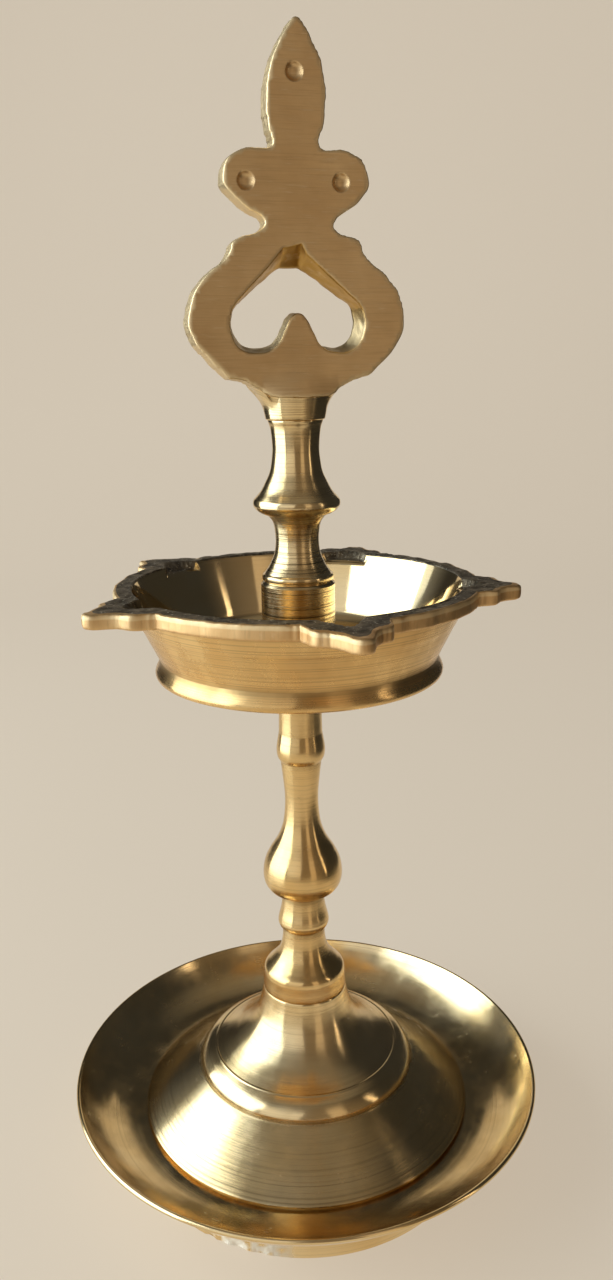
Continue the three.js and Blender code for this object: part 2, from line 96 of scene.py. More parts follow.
def curve(points, step):
    """A smooth curve through the points, cut into even steps.

    Between two points it is the cubic whose slope at each point is half the way from the point
    before to the point after (Catmull-Rom), with the first and last points repeated."""
    p = np.asarray(points, float)
    p = np.vstack([p[:1], p, p[-1:]])
    t = np.linspace(0, 1, 16, endpoint=False)[None, :, None]
    a, b, c, d = (p[k : len(p) - 3 + k, None, :] for k in range(4))
    cubic = 2 * b + (c - a) * t + (2 * a - 5 * b + 4 * c - d) * t**2
    cubic = cubic + (3 * b - a - 3 * c + d) * t**3
    dense = np.vstack([0.5 * cubic.reshape(-1, 2), p[-1:]])
    return even(dense, step)


def even(dense, step):
    """The same polyline with its points spread evenly along it, about one step apart."""
    gaps = np.linalg.norm(np.diff(dense, axis=0), axis=1)
    far = np.concatenate([[0], np.cumsum(gaps)])
    count = max(2, int(round(far[-1] / step)) + 1)
    at = np.linspace(0, far[-1], count)
    return np.column_stack([np.interp(at, far, dense[:, k]) for k in range(2)])


def outline(*curves):
    """Curves joined end to end, with the shared points kept once.

    Where the line turns by more than 25 degrees, a point is added close by on each side, so that
    the corner shades as a crisp edge and not as a wide round one."""
    pieces = [curves[0]]
    for piece in curves[1:]:
        pieces.append(piece[1:] if np.allclose(pieces[-1][-1], piece[0], atol=1e-6) else piece)
    line = np.vstack(pieces)
    step = np.diff(line, axis=0)
    length = np.linalg.norm(step, axis=1, keepdims=True)
    ahead = step / length
    sharp = np.sum(ahead[1:] * ahead[:-1], axis=1) < math.cos(math.radians(25))
    corner = np.flatnonzero(sharp) + 1
    before = line[corner] - ahead[corner - 1] * np.minimum(0.05, length[corner - 1] / 3)
    after = line[corner] + ahead[corner] * np.minimum(0.05, length[corner] / 3)
    return np.insert(line, np.concatenate([corner, corner + 1]), np.vstack([before, after]), axis=0)


def joined(start, *parts, foot=0.0):
    """Curves end to end, each from the end of the one before. A part is its step and its points.

    Heights are counted from the foot."""
    curves = []
    for step, *points in parts:
        curves.append(curve([(r, foot + h) for r, h in [start, *points]], step))
        start = points[-1]
    return curves


def arc_length(points):
    """How far each point lies along a polyline from its start."""
    gaps = np.linalg.norm(np.diff(points, axis=0), axis=1)
    return np.concatenate([[0], np.cumsum(gaps)])


def hollowness(points, reach=1.2):
    """How deep each point lies in a hollow of an outline, from 0 on a ridge or flat to 1.

    It is how far the point lies behind the chord between its neighbours one reach away."""
    far = arc_length(points)
    before = np.column_stack([np.interp(far - reach, far, points[:, k]) for k in range(2)])
    after = np.column_stack([np.interp(far + reach, far, points[:, k]) for k in range(2)])
    chord = after - before
    out = np.column_stack([chord[:, 1], -chord[:, 0]])
    out /= np.linalg.norm(out, axis=1, keepdims=True) + 1e-9
    depth = np.sum(((before + after) / 2 - points) * out, axis=1)
    return np.clip(depth / (0.35 * reach), 0, 1)


def unevenness(points, size, seed, waves=14):
    """Gentle bumps of about the given size over points of any dimension, from about -1 to 1.

    It is a sum of sine waves whose directions, lengths and starts are drawn from one seed."""
    random = np.random.default_rng(seed)
    p = np.asarray(points, float)
    total = np.zeros(p.shape[:-1])
    for _ in range(waves):
        direction = random.normal(size=p.shape[-1])
        direction /= np.linalg.norm(direction)
        turns = random.uniform(0.6, 1.7) / size
        total += np.sin(2 * np.pi * (p @ direction * turns + random.uniform()))
    return total / math.sqrt(waves)


# %% Meshes


def add_mesh(name, co, faces, uv=None, values=None):
    """A mesh object with its place in its vertices, from millimetres.

    uv has one pair for each face corner, and values one number per vertex for each name."""
    mesh = bpy.data.meshes.new(name)
    mesh.from_pydata((np.asarray(co) * MM).tolist(), [], faces)
    if uv is not None:
        layer = mesh.uv_layers.new(name="turning")
        layer.data.foreach_set("uv", np.asarray(uv, np.float32).ravel())
    for key, numbers in (values or {}).items():
        attribute = mesh.attributes.new(key, "FLOAT", "POINT")
        attribute.data.foreach_set("value", np.asarray(numbers, np.float32).ravel())
    mesh.polygons.foreach_set("use_smooth", np.full(len(mesh.polygons), True))
    mesh.update()
    piece = bpy.data.objects.new(name, mesh)
    bpy.context.scene.collection.objects.link(piece)
    return piece


def paint(piece, name, numbers):
    """Gives a piece one more number for each vertex."""
    attribute = piece.data.attributes.new(name, "FLOAT", "POINT")
    attribute.data.foreach_set("value", np.asarray(numbers, np.float32))


def vertices(piece):
    """A piece's vertices in millimetres."""
    co = np.empty(len(piece.data.vertices) * 3, np.float32)
    piece.data.vertices.foreach_get("co", co)
    return co.reshape(-1, 3).astype(float) / MM


def settle(piece, body, nodes, slot, *materials):
    """Gives a piece its body, the CAD nodes that it stands for and its materials. The slot is not used.
    """
    for material in materials:
        piece.data.materials.append(material)
    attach(piece, body)
    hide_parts(*nodes)
    print(f"{piece.name}: {len(piece.data.polygons)} faces")
    return piece


def pole_fans(ring, along, u_low, u_high, foot, head):
    """Triangles that join the first and last rows to the two poles, and their UV corners."""
    turned = np.roll(ring, -1, axis=1)
    ends = [
        (ring[0], turned[0], foot, u_low, u_high, along[0], along[1]),
        (turned[-1], ring[-1], head, u_high, u_low, along[-1], along[-2]),
    ]
    faces, uv = [], []
    for near, far, pole, near_u, far_u, pole_v, edge_v in ends:
        faces.append(np.stack([np.full(len(near), pole), far, near], -1))
        corner_u = np.stack([(u_low + u_high) / 2, far_u, near_u], -1)
        corner_v = np.broadcast_to([pole_v, edge_v, edge_v], corner_u.shape)
        uv.append(np.stack([corner_u, corner_v], -1).reshape(-1, 2))
    return np.vstack(faces).tolist(), np.vstack(uv)


def revolve(name, points, sides=160, closed=False, lines=0.3, bend=None, angles=None):
    """Turns an outline round the Z axis into a closed surface whose faces look outwards.

    The outline runs outwards along the underside, up the outside and back in. An open one starts
    and ends on the axis, where its rows shrink to one point; a closed one joins its ends.
    bend(radius, height, angle) may return a changed radius and height for the whole grid."""
    points = np.asarray(points, float)
    rows = points if closed else points[1:-1]
    if angles is None:
        angles = np.arange(sides) * 2 * np.pi / sides
    sides = len(angles)
    radius = np.repeat(rows[:, :1], sides, axis=1)
    height = np.repeat(rows[:, 1:], sides, axis=1)
    angle = np.repeat(angles[None, :], len(rows), axis=0)
    if bend:
        radius, height = bend(radius, height, angle)
    co = np.stack([radius * np.cos(angle), radius * np.sin(angle), height], -1).reshape(-1, 3)

    along = arc_length(points) / UV_UNIT
    ends_gap = np.linalg.norm(points[0] - points[-1]) / UV_UNIT
    v = np.append(along, along[-1] + ends_gap) if closed else along[1:-1]
    ring = np.arange(len(rows) * sides).reshape(len(rows), sides)
    loop = np.vstack([ring, ring[:1]]) if closed else ring
    below, above = loop[:-1], loop[1:]
    faces = np.stack([below, np.roll(below, -1, 1), np.roll(above, -1, 1), above], -1)
    u_low = angles / (2 * np.pi)
    u_high = np.append(u_low[1:], u_low[0] + 1)
    u = np.broadcast_to(np.stack([u_low, u_high, u_high, u_low], -1), faces.shape)
    v = np.broadcast_to(np.stack([v[:-1], v[:-1], v[1:], v[1:]], -1)[:, None, :], faces.shape)
    uv = np.stack([u, v], -1).reshape(-1, 2)
    faces = faces.reshape(-1, 4).tolist()

    strength = np.broadcast_to(np.asarray(lines, float), (len(points),))
    values = {"hollow": hollowness(points), "lines": strength}
    if closed:
        values = {key: np.repeat(row, sides) for key, row in values.items()}
        return add_mesh(name, co, faces, uv, values)
    fans, fan_uv = pole_fans(ring, along, u_low, u_high, len(co), len(co) + 1)
    co = np.vstack([co, [0, 0, points[0, 1]], [0, 0, points[-1, 1]]])
    for key, row in values.items():
        values[key] = np.concatenate([np.repeat(row[1:-1], sides), row[[0, -1]]])
    return add_mesh(name, co, faces + fans, np.vstack([uv, fan_uv]), values)


# %% [markdown]
# ## Materials
#
# Brass takes its colour from what it mirrors, so the base colour only tints it. Turning leaves
# fine rings round the axis. A picture of rings could be wrapped round each piece, but it would
# blur close up, so they come from a noise that varies only along the outline, which the V of
# each turned piece's UV map measures. Tarnish gathers in the hollows, by an attribute that is
# worked out from the outline. Filed, ground and cast faces have lines and grains of their own.

# %% Node helpers


class Graph:
    """The node tree of a material or a world, with short ways to add and join nodes."""

    def __init__(self, owner):
        owner.use_nodes = True
        self.owner = owner
        self.tree = owner.node_tree
        self.shader = self.tree.nodes.get("Principled BSDF")

    def node(self, kind, settings=None, **inputs):
        """A node of this kind, with settings as properties and inputs by socket name."""
        made = self.tree.nodes.new("ShaderNode" + kind)
        for key, value in (settings or {}).items():
            setattr(made, key, value)
        for key, value in inputs.items():
            self.put(made.inputs[key.replace("_", " ")], value)
        return made

    def put(self, socket, value):
        """Joins a socket to another node's output, or sets its value."""
        if isinstance(value, bpy.types.NodeSocket):
            self.tree.links.new(value, socket)
        else:
            socket.default_value = value

    def math(self, operation, first, second):
        """The result of a math node on two values."""
        made = self.node("Math", {"operation": operation})
        for socket, value in zip(made.inputs, (first, second)):
            self.put(socket, value)
        return made.outputs[0]

    def blend(self, factor, first, second):
        """A colour between two colours. Sockets 6 and 7 of a Mix node are its colours A and B."""
        made = self.node("Mix", {"data_type": "RGBA"})
        for socket, value in zip((made.inputs["Factor"], *made.inputs[6:8]), (factor, first, second)):
            self.put(socket, value)
        return made.outputs[2]

    def span(self, value, low, high, to_low=0.0, to_high=1.0):
        """A value carried linearly from one range to another, and held inside it."""
        ends = {"From Min": low, "From Max": high, "To Min": to_low, "To Max": to_high}
        return self.node("MapRange", Value=value, **ends).outputs[0]

    def noise(self, vector, scale, detail=3.0, roughness=0.5, stretch=None):
        """Noise over a position, with the position stretched first where asked."""
        if stretch:
            vector = self.node("Mapping", Vector=vector, Scale=stretch).outputs[0]
        made = self.node("TexNoise", Vector=vector, Scale=scale, Detail=detail, Roughness=roughness)
        return made.outputs["Fac"]

    def rings(self, along, scale, detail=4.0, roughness=0.6):
        """Noise that varies only along an outline, so that it draws rings round the axis."""
        grain = {"Scale": scale, "Detail": detail, "Roughness": roughness}
        return self.node("TexNoise", {"noise_dimensions": "1D"}, W=along, **grain).outputs["Fac"]

    def bump(self, height, distance, strength=1.0, normal=None):
        """A bumped normal. The distance is in metres."""
        made = self.node("Bump", Height=height, Distance=distance, Strength=strength)
        if normal is not None:
            self.put(made.inputs["Normal"], normal)
        return made.outputs["Normal"]

    def value(self, name):
        """A number that the mesh holds for each vertex."""
        return self.node("Attribute", {"attribute_name": name}).outputs["Fac"]

    def place(self):
        """The position in the object's own frame, in metres."""
        return self.node("TexCoord").outputs["Object"]


def colour(red, green, blue):
    """An opaque colour from linear values."""
    return (red, green, blue, 1.0)


PALE_BRASS = colour(0.87, 0.70, 0.41)
GOLD_BRASS = colour(0.80, 0.58, 0.27)
TARNISH = colour(0.34, 0.23, 0.10)


def turned_brass(name, roughness=0.1, ring_depth=5e-6, shine=0.5, pale=PALE_BRASS, gold=GOLD_BRASS):
    """Turned and polished brass: rings from the lathe, faint wipe marks, tarnish in hollows."""
    g = Graph(bpy.data.materials.new(name))
    along = g.node("SeparateXYZ", Vector=g.node("UVMap", {"uv_map": "turning"}).outputs[0]).outputs[1]
    place = g.place()
    coarse = g.rings(along, 8.0, 3.0, 0.7)
    fine = g.rings(along, 30.0, 3.0, 0.7)
    cloud = g.noise(place, 60.0, 4.0)
    wipes = g.noise(place, 240.0, 3.0, 0.6, stretch=(1, 1, 0.25))
    lines, wear = g.value("lines"), g.value("wear")

    base = g.blend(g.span(cloud, 0.35, 0.7), pale, gold)
    base = g.blend(g.math("MULTIPLY", lines, g.span(fine, 0.52, 0.68, 0.0, 0.7)), base, TARNISH)
    hair = g.span(g.rings(along, 17.0, 2.0, 0.6), 0.6, 0.64, 0.0, 0.85)
    hair = g.math("MULTIPLY", g.math("POWER", lines, 2.5), hair)
    base = g.blend(hair, base, colour(0.13, 0.09, 0.04))
    base = g.blend(g.math("MULTIPLY", g.value("hollow"), 0.5), base, TARNISH)
    base = g.blend(wear, base, colour(0.93, 0.88, 0.76))
    specks = g.span(g.noise(place, 900.0, 2.0), 0.72, 0.8, 0.0, 0.3)
    g.put(g.shader.inputs["Base Color"], g.blend(specks, base, TARNISH))

    rough = g.span(wipes, 0.35, 0.75, roughness * 0.75, roughness * 1.5)
    rough = g.math("ADD", rough, g.math("MULTIPLY", g.value("hollow"), 0.12))
    rough = g.math("ADD", rough, g.math("MULTIPLY", lines, g.span(fine, 0.4, 0.7, 0.0, 0.12)))
    rough = g.math("ADD", rough, g.math("MULTIPLY", wear, 0.4))
    g.put(g.shader.inputs["Roughness"], rough)

    depth = g.math("ADD", g.math("MULTIPLY", coarse, 2.0), fine)
    normal = g.bump(depth, ring_depth, lines)
    normal = g.bump(cloud, 2e-5, 0.4, normal)
    grit = g.bump(g.noise(place, 1400.0, 3.0, 0.7), 2.5e-4, wear, normal)
    g.put(g.shader.inputs["Normal"], grit)
    tangent = g.node("Tangent", {"direction_type": "UV_MAP", "uv_map": "turning"})
    g.put(g.shader.inputs["Tangent"], tangent.outputs[0])
    g.shader.inputs["Anisotropic"].default_value = shine
    g.shader.inputs["Anisotropic Rotation"].default_value = 0.25
    g.shader.inputs["Metallic"].default_value = 1.0
    return g.owner


def ground_brass(name, lines, cross, matt, low, high):
    """Brass dressed with a file or a belt: satin and tan, with fine lines along one direction.

    lines and cross are the noise's frequencies along X, Y and Z, in waves per metre, matt is the
    least roughness, and low and high are the two colours between which the brass varies."""
    g = Graph(bpy.data.materials.new(name))
    place = g.place()
    fine = g.noise(place, 1.0, 2.0, 0.6, stretch=lines)
    loose = g.noise(place, 1.0, 2.0, 0.6, stretch=cross)
    cloud = g.noise(place, 110.0, 4.0)
    wear = g.value("wear")
    base = g.blend(g.span(cloud, 0.3, 0.72), low, high)
    base = g.blend(g.span(fine, 0.3, 0.5, 0.26, 0.0), base, colour(0.42, 0.27, 0.12))
    base = g.blend(g.span(loose, 0.6, 0.75, 0.0, 0.3), base, colour(0.92, 0.76, 0.50))
    base = g.blend(g.math("MULTIPLY", wear, 0.65), base, colour(0.92, 0.76, 0.46))
    g.put(g.shader.inputs["Base Color"], base)
    rough = g.math("ADD", g.span(loose, 0.3, 0.7, matt, matt + 0.14), g.math("MULTIPLY", wear, 0.08))
    g.put(g.shader.inputs["Roughness"], rough)
    height = g.math("ADD", fine, g.math("MULTIPLY", loose, 0.6))
    normal = g.bump(height, 1.3e-5, 0.8)
    g.put(g.shader.inputs["Normal"], g.bump(cloud, 1.0e-4, 0.35, normal))
    g.shader.inputs["Metallic"].default_value = 1.0
    return g.owner


def cast_brass(name="cast_brass", dark=colour(0.085, 0.07, 0.05), light=colour(0.36, 0.29, 0.19)):
    """Rough brass as it left the sand: grainy grey-brown, with bright worn grains and edges."""
    g = Graph(bpy.data.materials.new(name))
    place = g.place()
    grains = g.noise(place, 1900.0, 3.0, 0.7)
    pits = g.noise(place, 520.0, 4.0, 0.6)
    cloud = g.noise(place, 90.0, 3.0)
    wear = g.value("wear")
    base = g.blend(g.span(pits, 0.35, 0.75), dark, light)
    base = g.blend(g.span(cloud, 0.4, 0.75, 0.0, 0.6), base, colour(0.07, 0.06, 0.05))
    base = g.blend(g.math("MULTIPLY", g.span(grains, 0.6, 0.7), 0.8), base, colour(0.95, 0.88, 0.7))
    base = g.blend(g.math("MULTIPLY", wear, 0.85), base, colour(0.90, 0.74, 0.46))
    g.put(g.shader.inputs["Base Color"], base)
    rough = g.math("SUBTRACT", g.span(pits, 0.3, 0.8, 0.66, 0.44), g.math("MULTIPLY", wear, 0.2))
    g.put(g.shader.inputs["Roughness"], rough)
    normal = g.bump(pits, 1.5e-4, 0.7)
    g.put(g.shader.inputs["Normal"], g.bump(grains, 8e-5, 0.8, normal))
    g.shader.inputs["Metallic"].default_value = 1.0
    return g.owner


def plain_steel():
    """Dull plated steel with faint turning rings and grey stains."""
    g = Graph(bpy.data.materials.new("plain_steel"))
    place = g.place()
    stain = g.noise(place, 260.0, 4.0)
    base = g.blend(g.span(stain, 0.35, 0.75), colour(0.55, 0.56, 0.57), colour(0.36, 0.33, 0.30))
    g.put(g.shader.inputs["Base Color"], base)
    g.put(g.shader.inputs["Roughness"], g.span(stain, 0.3, 0.7, 0.28, 0.5))
    g.put(g.shader.inputs["Normal"], g.bump(g.noise(place, 1600.0, 3.0), 3e-5, 0.6))
    g.shader.inputs["Metallic"].default_value = 1.0
    return g.owner


SATIN_PALE = colour(0.86, 0.60, 0.27)
SATIN_GOLD = colour(0.79, 0.49, 0.18)
# The lower stem's two colours are deeper gold than the other brass. This is a painted warm reflection of
# brown surroundings below it, since the metal is the same all through.
STEM_PAINTED_WARM_PALE = colour(0.86, 0.64, 0.33)
STEM_PAINTED_WARM_GOLD = colour(0.79, 0.53, 0.21)
mirror_brass = turned_brass("mirror_brass", 0.08, 3e-6, 0.5)
polished_brass = turned_brass("polished_brass", 0.17, 1.8e-5, 0.85)
painted_reflection_brass = turned_brass("painted_reflection_brass", 0.19, 1.8e-5, 0.88, STEM_PAINTED_WARM_PALE, STEM_PAINTED_WARM_GOLD)
satin_brass = turned_brass("satin_brass", 0.25, 1.8e-5, 0.85, SATIN_PALE, SATIN_GOLD)
FACE_LOW, FACE_HIGH = colour(0.64, 0.43, 0.21), colour(0.77, 0.56, 0.30)
EDGE_LOW, EDGE_HIGH = colour(0.70, 0.43, 0.18), colour(0.80, 0.56, 0.28)
ground = ground_brass("ground_brass", (110, 400, 4600), (260, 400, 2800), 0.34, FACE_LOW, FACE_HIGH)
filed = ground_brass("filed_brass", (2600, 2600, 260), (900, 900, 500), 0.44, EDGE_LOW, EDGE_HIGH)
# The walls inside the heart-shaped window get darker, deeper amber colours than the face. This is painted
# shade and painted gold reflection inside the opening.
WINDOW_SHADE_LOW, WINDOW_SHADE_HIGH = colour(0.40, 0.22, 0.045), colour(0.64, 0.39, 0.11)
window_shade_brass = ground_brass(
    "window_shade_brass", (900, 900, 1400), (500, 500, 700), 0.3, WINDOW_SHADE_LOW, WINDOW_SHADE_HIGH
)
cast = cast_brass()
steel = plain_steel()
print("materials:", ", ".join(m.name for m in bpy.data.materials))

# %% [markdown]
# ## Drip plate
#
# A thin dish that flares up to a rounded lip, with a foot ring turned underneath. It is one
# closed outline, underside and upper side together, so that its wall has its real thickness.
# The foot's edge carries a few small nicks. A boolean could cut them, but moving the vertices
# near the edge inwards keeps the mesh closed and even.

# %% Drip plate
bore = 2.7
plate_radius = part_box("drip_plate")[1].x / MM - 0.05
plate_top = top("drip_plate")
floor_top = seat("bell_base")
floor_under = floor_top - 1.8
foot_radius = 33.1
foot_inside = 30.5


def nicked_foot(radius, height, angle):
    """Breaks a few small nicks out of the foot's outer edge where it meets the floor."""
    nick_angles = np.radians([-135.0, -131.0, -125.0, -118.0, -112.0])
    nick_widths = np.array([0.03, 0.018, 0.05, 0.035, 0.012])
    nick_depths = np.array([0.4, 0.25, 0.45, 0.35, 0.25])
    turn = np.abs(np.angle(np.exp(1j * (angle[..., None] - nick_angles))))
    share = np.clip(1.4 * (1 - turn / nick_widths), 0, 1)
    ragged = 1 + 0.4 * unevenness(np.stack([angle * foot_radius, height], -1), 0.9, 61)
    low = np.clip(1.15 - height / 1.9, 0, 1) * (radius > foot_radius - 1.0)
    return radius - (share * nick_depths).sum(-1) * low * np.clip(ragged, 0.2, 1.6), height


plate_outline = outline(
    *joined(
        (bore, floor_under),
        (1.2, (foot_inside - 0.4, floor_under)),
        (0.2, (foot_inside, floor_under - 0.4)),
        (0.6, (foot_inside, 0.3)),
        (0.2, (foot_inside + 0.3, 0)),
        (0.4, (foot_radius - 0.25, 0)),
        (0.1, (foot_radius, 0.25)),
        (0.4, (foot_radius - 0.1, 3.0), (foot_radius, floor_under - 0.5)),
        (0.4, (35.2, 7.5), (38.6, 9.0), (41.6, 11.3), (plate_radius - 0.55, plate_top - 1.15)),
        (
            0.08,
            (plate_radius - 0.05, plate_top - 0.75),
            (plate_radius, plate_top - 0.35),
            (plate_radius - 0.3, plate_top - 0.03),
            (plate_radius - 0.65, plate_top - 0.1),
        ),
        (
            0.25,
            *((43.3, 14.1), (41.2, 12.0), (38.7, 10.4), (36.0, 9.4)),
            *((34.0, floor_top + 0.06), (33.0, floor_top)),
        ),
        (0.3, (30.9, floor_top)),
        (1.2, (bore, floor_top)),
        (0.5, (bore, floor_under + 0.02)),
    )
)
drip_plate = revolve("drip_plate_fine", plate_outline, 320, closed=True, lines=0.3, bend=nicked_foot)
co = vertices(drip_plate)
angle = np.arctan2(co[:, 1], co[:, 0])
broken = np.clip(2.2 - np.abs(np.degrees(angle) + 121) / 7, 0, 1)
broken *= np.clip((np.hypot(co[:, 0], co[:, 1]) - 31) / 1.5, 0, 1)
broken *= np.clip((5.0 - co[:, 2]) / 1.5, 0, 1)
patches = np.clip(0.8 + 1.6 * unevenness(co, 3.0, 62), 0, 1)
paint(drip_plate, "wear", broken * patches)
settle(drip_plate, "base", ["drip_plate"], "polished_brass", polished_brass)

# %% [markdown]
# ## Bell base
#
# A straight cone with a short upright edge, a sharp ring, a rounded band, a second ring and a
# long cove that sweeps up to the stem's seat. Its steps are curves that meet at a sharp corner:
# where they meet, the outline gets two more points close by, so the edge catches a thin light.
# The sockets' threads are bent into the same grid.

# %% Bell base
bell_foot = seat("bell_base")
bell_top = top("bell_base")
socket = 2.7
socket_depth = 6.4

bell_height = bell_top - bell_foot
bell_wall = joined(
    (0, 7.7),
    (1.0, (bore, 7.7)),
    (0.8, (bore, 0.3)),
    (0.8, (6.0, 0.3)),
    (0.8, (6.0, 8.0), (8.0, 10.0)),
    (0.8, (13.9, 10.0)),
    (0.8, (27.9, 0.0)),
    (0.8, (31.1, 0.0)),
    (0.15, (31.3, 0.2), (31.3, 1.0)),
    (0.16, (31.15, 1.3), (21.25, 8.45)),
    (0.06, (21.05, 8.62), (20.9, 8.6)),
    (0.12, (20.75, 9.4), (20.3, 10.2), (19.3, 11.2), (18.0, 11.95)),
    (0.06, (17.75, 12.12), (17.45, 12.1)),
    (
        0.16,
        *((15.6, 13.1), (13.4, 14.6), (11.0, 16.9), (9.4, 19.4), (8.5, 22.0), (8.02, 24.2)),
        (7.9, bell_height),
    ),
    (0.5, (socket + 0.4, bell_height)),
    foot=bell_foot,
)
pitch = 0.8


def bored_socket(top_height):
    """Outline of a socket in a piece's top face: chamfered mouth, threaded wall and flat end."""
    return joined(
        (socket + 0.4, 0.0),
        (0.1, (socket, -0.4)),
        (0.1, (socket, 0.1 - socket_depth)),
        (0.5, (0, -socket_depth)),
        foot=top_height,
    )


def socket_under(foot_height):
    """Outline of a socket in a piece's underside, from its flat end down to the mouth."""
    return joined(
        (0, socket_depth),
        (0.5, (socket, socket_depth - 0.1)),
        (0.1, (socket, 0.4)),
        (0.1, (socket + 0.4, 0.0)),
        foot=foot_height,
    )


def threaded(joint_heights):
    """A change of radius that cuts the screw thread into a socket's wall.

    The wall's radius rises and falls once for each pitch of height, and a turn round the axis
    shifts it by one pitch, so that it is a helix."""

    def cut(radius, height, angle):
        wall = np.zeros(radius.shape, bool)
        for joint in joint_heights:
            near = np.abs(height - joint) < socket_depth - 0.05
            wall |= (np.abs(radius - socket) < 0.02) & near
        turn = height / pitch - angle / (2 * np.pi)
        ridge = np.abs(turn - np.round(turn)) * 2
        return radius + np.where(wall, 0.3 * (ridge - 0.15), 0), height

    return cut


bell_outline = outline(*bell_wall, *bored_socket(bell_top))
cone_part = (bell_outline[:, 0] > 21.2) & (bell_outline[:, 1] > bell_foot + 0.9)
cone_share = np.clip((bell_foot + 8.5 - bell_outline[:, 1]) / 7.5, 0, 1)
bell_lines = np.where(cone_part, 0.3 + 0.3 * cone_share, 0.3)
bell_base = settle(
    revolve("bell_base_fine", bell_outline, 192, lines=bell_lines, bend=threaded([bell_top])),
    "base",
    ["bell_base"],
    "polished_brass",
    polished_brass,
)

# %% [markdown]
# ## Lower stem
#
# From its seat on the bell: a nearly straight shoulder, a cove to a thin waist, a small bead
# with a long upper slope, a pear-shaped bulb, a slender shaft and a collar bead under the bowl.
# Cylinders and spheres could be stacked for it, but a turned baluster flows from one form into
# the next, so one measured outline makes the whole stem.

# %% Lower stem
stem_foot = seat("lower_stem")
stem_top = top("lower_stem")
STEM_SHAPE = [
    [(7.75, 0.0), (8.0, 0.15), (7.9, 2.0), (7.85, 3.1)],
    [
        (7.85, 3.1), (7.6, 4.2), (6.5, 5.4), (5.1, 7.1), (4.4, 8.8), (4.1, 10.5), (4.0, 12.3),
    ],
    [(4.0, 12.3), (4.45, 12.75), (4.87, 13.7), (4.75, 14.8), (4.3, 16.6), (4.02, 18.4), (4.0, 19.3)],
    [
        (4.0, 19.3), (5.2, 20.1), (6.5, 21.1), (7.3, 22.5), (7.5, 24.4), (7.1, 26.7), (6.1, 28.8),
        (4.64, 31.2), (3.62, 33.9), (3.2, 37.0), (3.14, 40.0), (3.42, 43.2), (3.8, 46.6),
    ],
    [(3.8, 46.6), (4.35, 47.6), (4.5, 49.0), (4.3, 50.6), (4.02, 52.2)],
    [(4.02, 52.2), (3.97, 55.6), (4.1, 58.6), (4.7, 61.2), (5.9, 62.9), (6.0, 63.3)],
    [(6.0, 63.3), (6.0, 64.0), (5.9, 64.1)],
]


def standing(shape, foot, step=0.14):
    """Curves of a shape whose heights are counted from the piece's own foot."""
    return [curve([(r, foot + h) for r, h in part], step) for part in shape]


stem_outline = outline(
    *socket_under(stem_foot),
    curve([(socket + 0.4, stem_foot), (7.75, stem_foot)], 0.5),
    *standing(STEM_SHAPE, stem_foot),
    curve([(5.9, stem_top), (socket + 0.4, stem_top)], 0.5),
    *bored_socket(stem_top),
)
# The lower stem gets the brass whose deeper gold is a painted warm reflection.
lower_stem = settle(
    revolve("lower_stem_fine", stem_outline, 128, lines=0.3, bend=threaded([stem_foot, stem_top])),
    "stem",
    ["lower_stem"],
    "polished_brass",
    painted_reflection_brass,
)

# %% [markdown]
# ## Upper stem
#
# Base flange on the boss, a neck with fine tool rings, a disc-like ring with a rounded edge and
# a second neck that swells a little to the finial's seat. The tool rings are too fine for the
# mesh, so the material draws them, and the attribute "lines" says where they are strong.

# %% Upper stem
upper_foot = seat("upper_stem")
upper_top = top("upper_stem")
UPPER_SHAPE = [
    [(5.9, 0.0), (6.25, 0.25), (6.3, 0.6), (6.2, 1.05), (5.85, 1.35)],
    [
        (5.85, 1.35), (5.2, 2.3), (4.8, 3.0), (4.1, 4.7), (3.82, 6.6), (3.87, 8.3), (4.2, 10.2),
        (4.95, 11.3), (5.7, 11.7),
    ],
    [
        (5.7, 11.7), (6.3, 11.95), (7.0, 12.4), (7.5, 13.0), (7.62, 13.6), (7.5, 14.2),
        (7.1, 14.7), (6.15, 15.8), (5.3, 17.4), (4.55, 19.1), (4.15, 21.5), (4.06, 23.3),
        (4.3, 26.0), (4.7, 27.4), (4.72, 27.7),
    ],
]
upper_outline = outline(
    *socket_under(upper_foot),
    curve([(socket + 0.4, upper_foot), (5.9, upper_foot)], 0.5),
    *standing(UPPER_SHAPE, upper_foot, 0.12),
    curve([(4.72, upper_top), (socket + 0.4, upper_top)], 0.5),
    *bored_socket(upper_top),
)
neck_rings = np.clip(1.2 - np.abs(upper_outline[:, 1] - upper_foot - 4.5) / 7, 0, 1)
upper_stem = settle(
    revolve(
        "upper_stem_fine",
        upper_outline,
        128,
        lines=0.45 + 0.55 * neck_rings,
        bend=threaded([upper_foot, upper_top]),
    ),
    "upper",
    ["upper_stem"],
    "polished_brass",
    polished_brass,
)

# %% [markdown]
# ## Oil bowl
#
# One surface from the underside, up the wall and over the rim to the polished well. Between the
# wall's top and the mouth, each row is stretched outwards to the rim's plan, which is a circle
# with five spouts. The wick grooves sink into the same rows. The spouts were dressed by hand, so
# each has its own length and points a little to one side. The boss in the middle belongs to the
# same casting, but is plain and round, so it is a second mesh with far fewer faces round it.

# %% Bowl plan
bowl_foot = seat("oil_bowl")
rim_top = bowl_foot + 16.35
rim_under = bowl_foot + 13.6
rim_radius = 32.3
mouth_radius = 29.2
wall_top_radius = 29.7
SPOUTS = 5
SPOUT_STEP = 2 * np.pi / SPOUTS
drawn_reach = 41.2
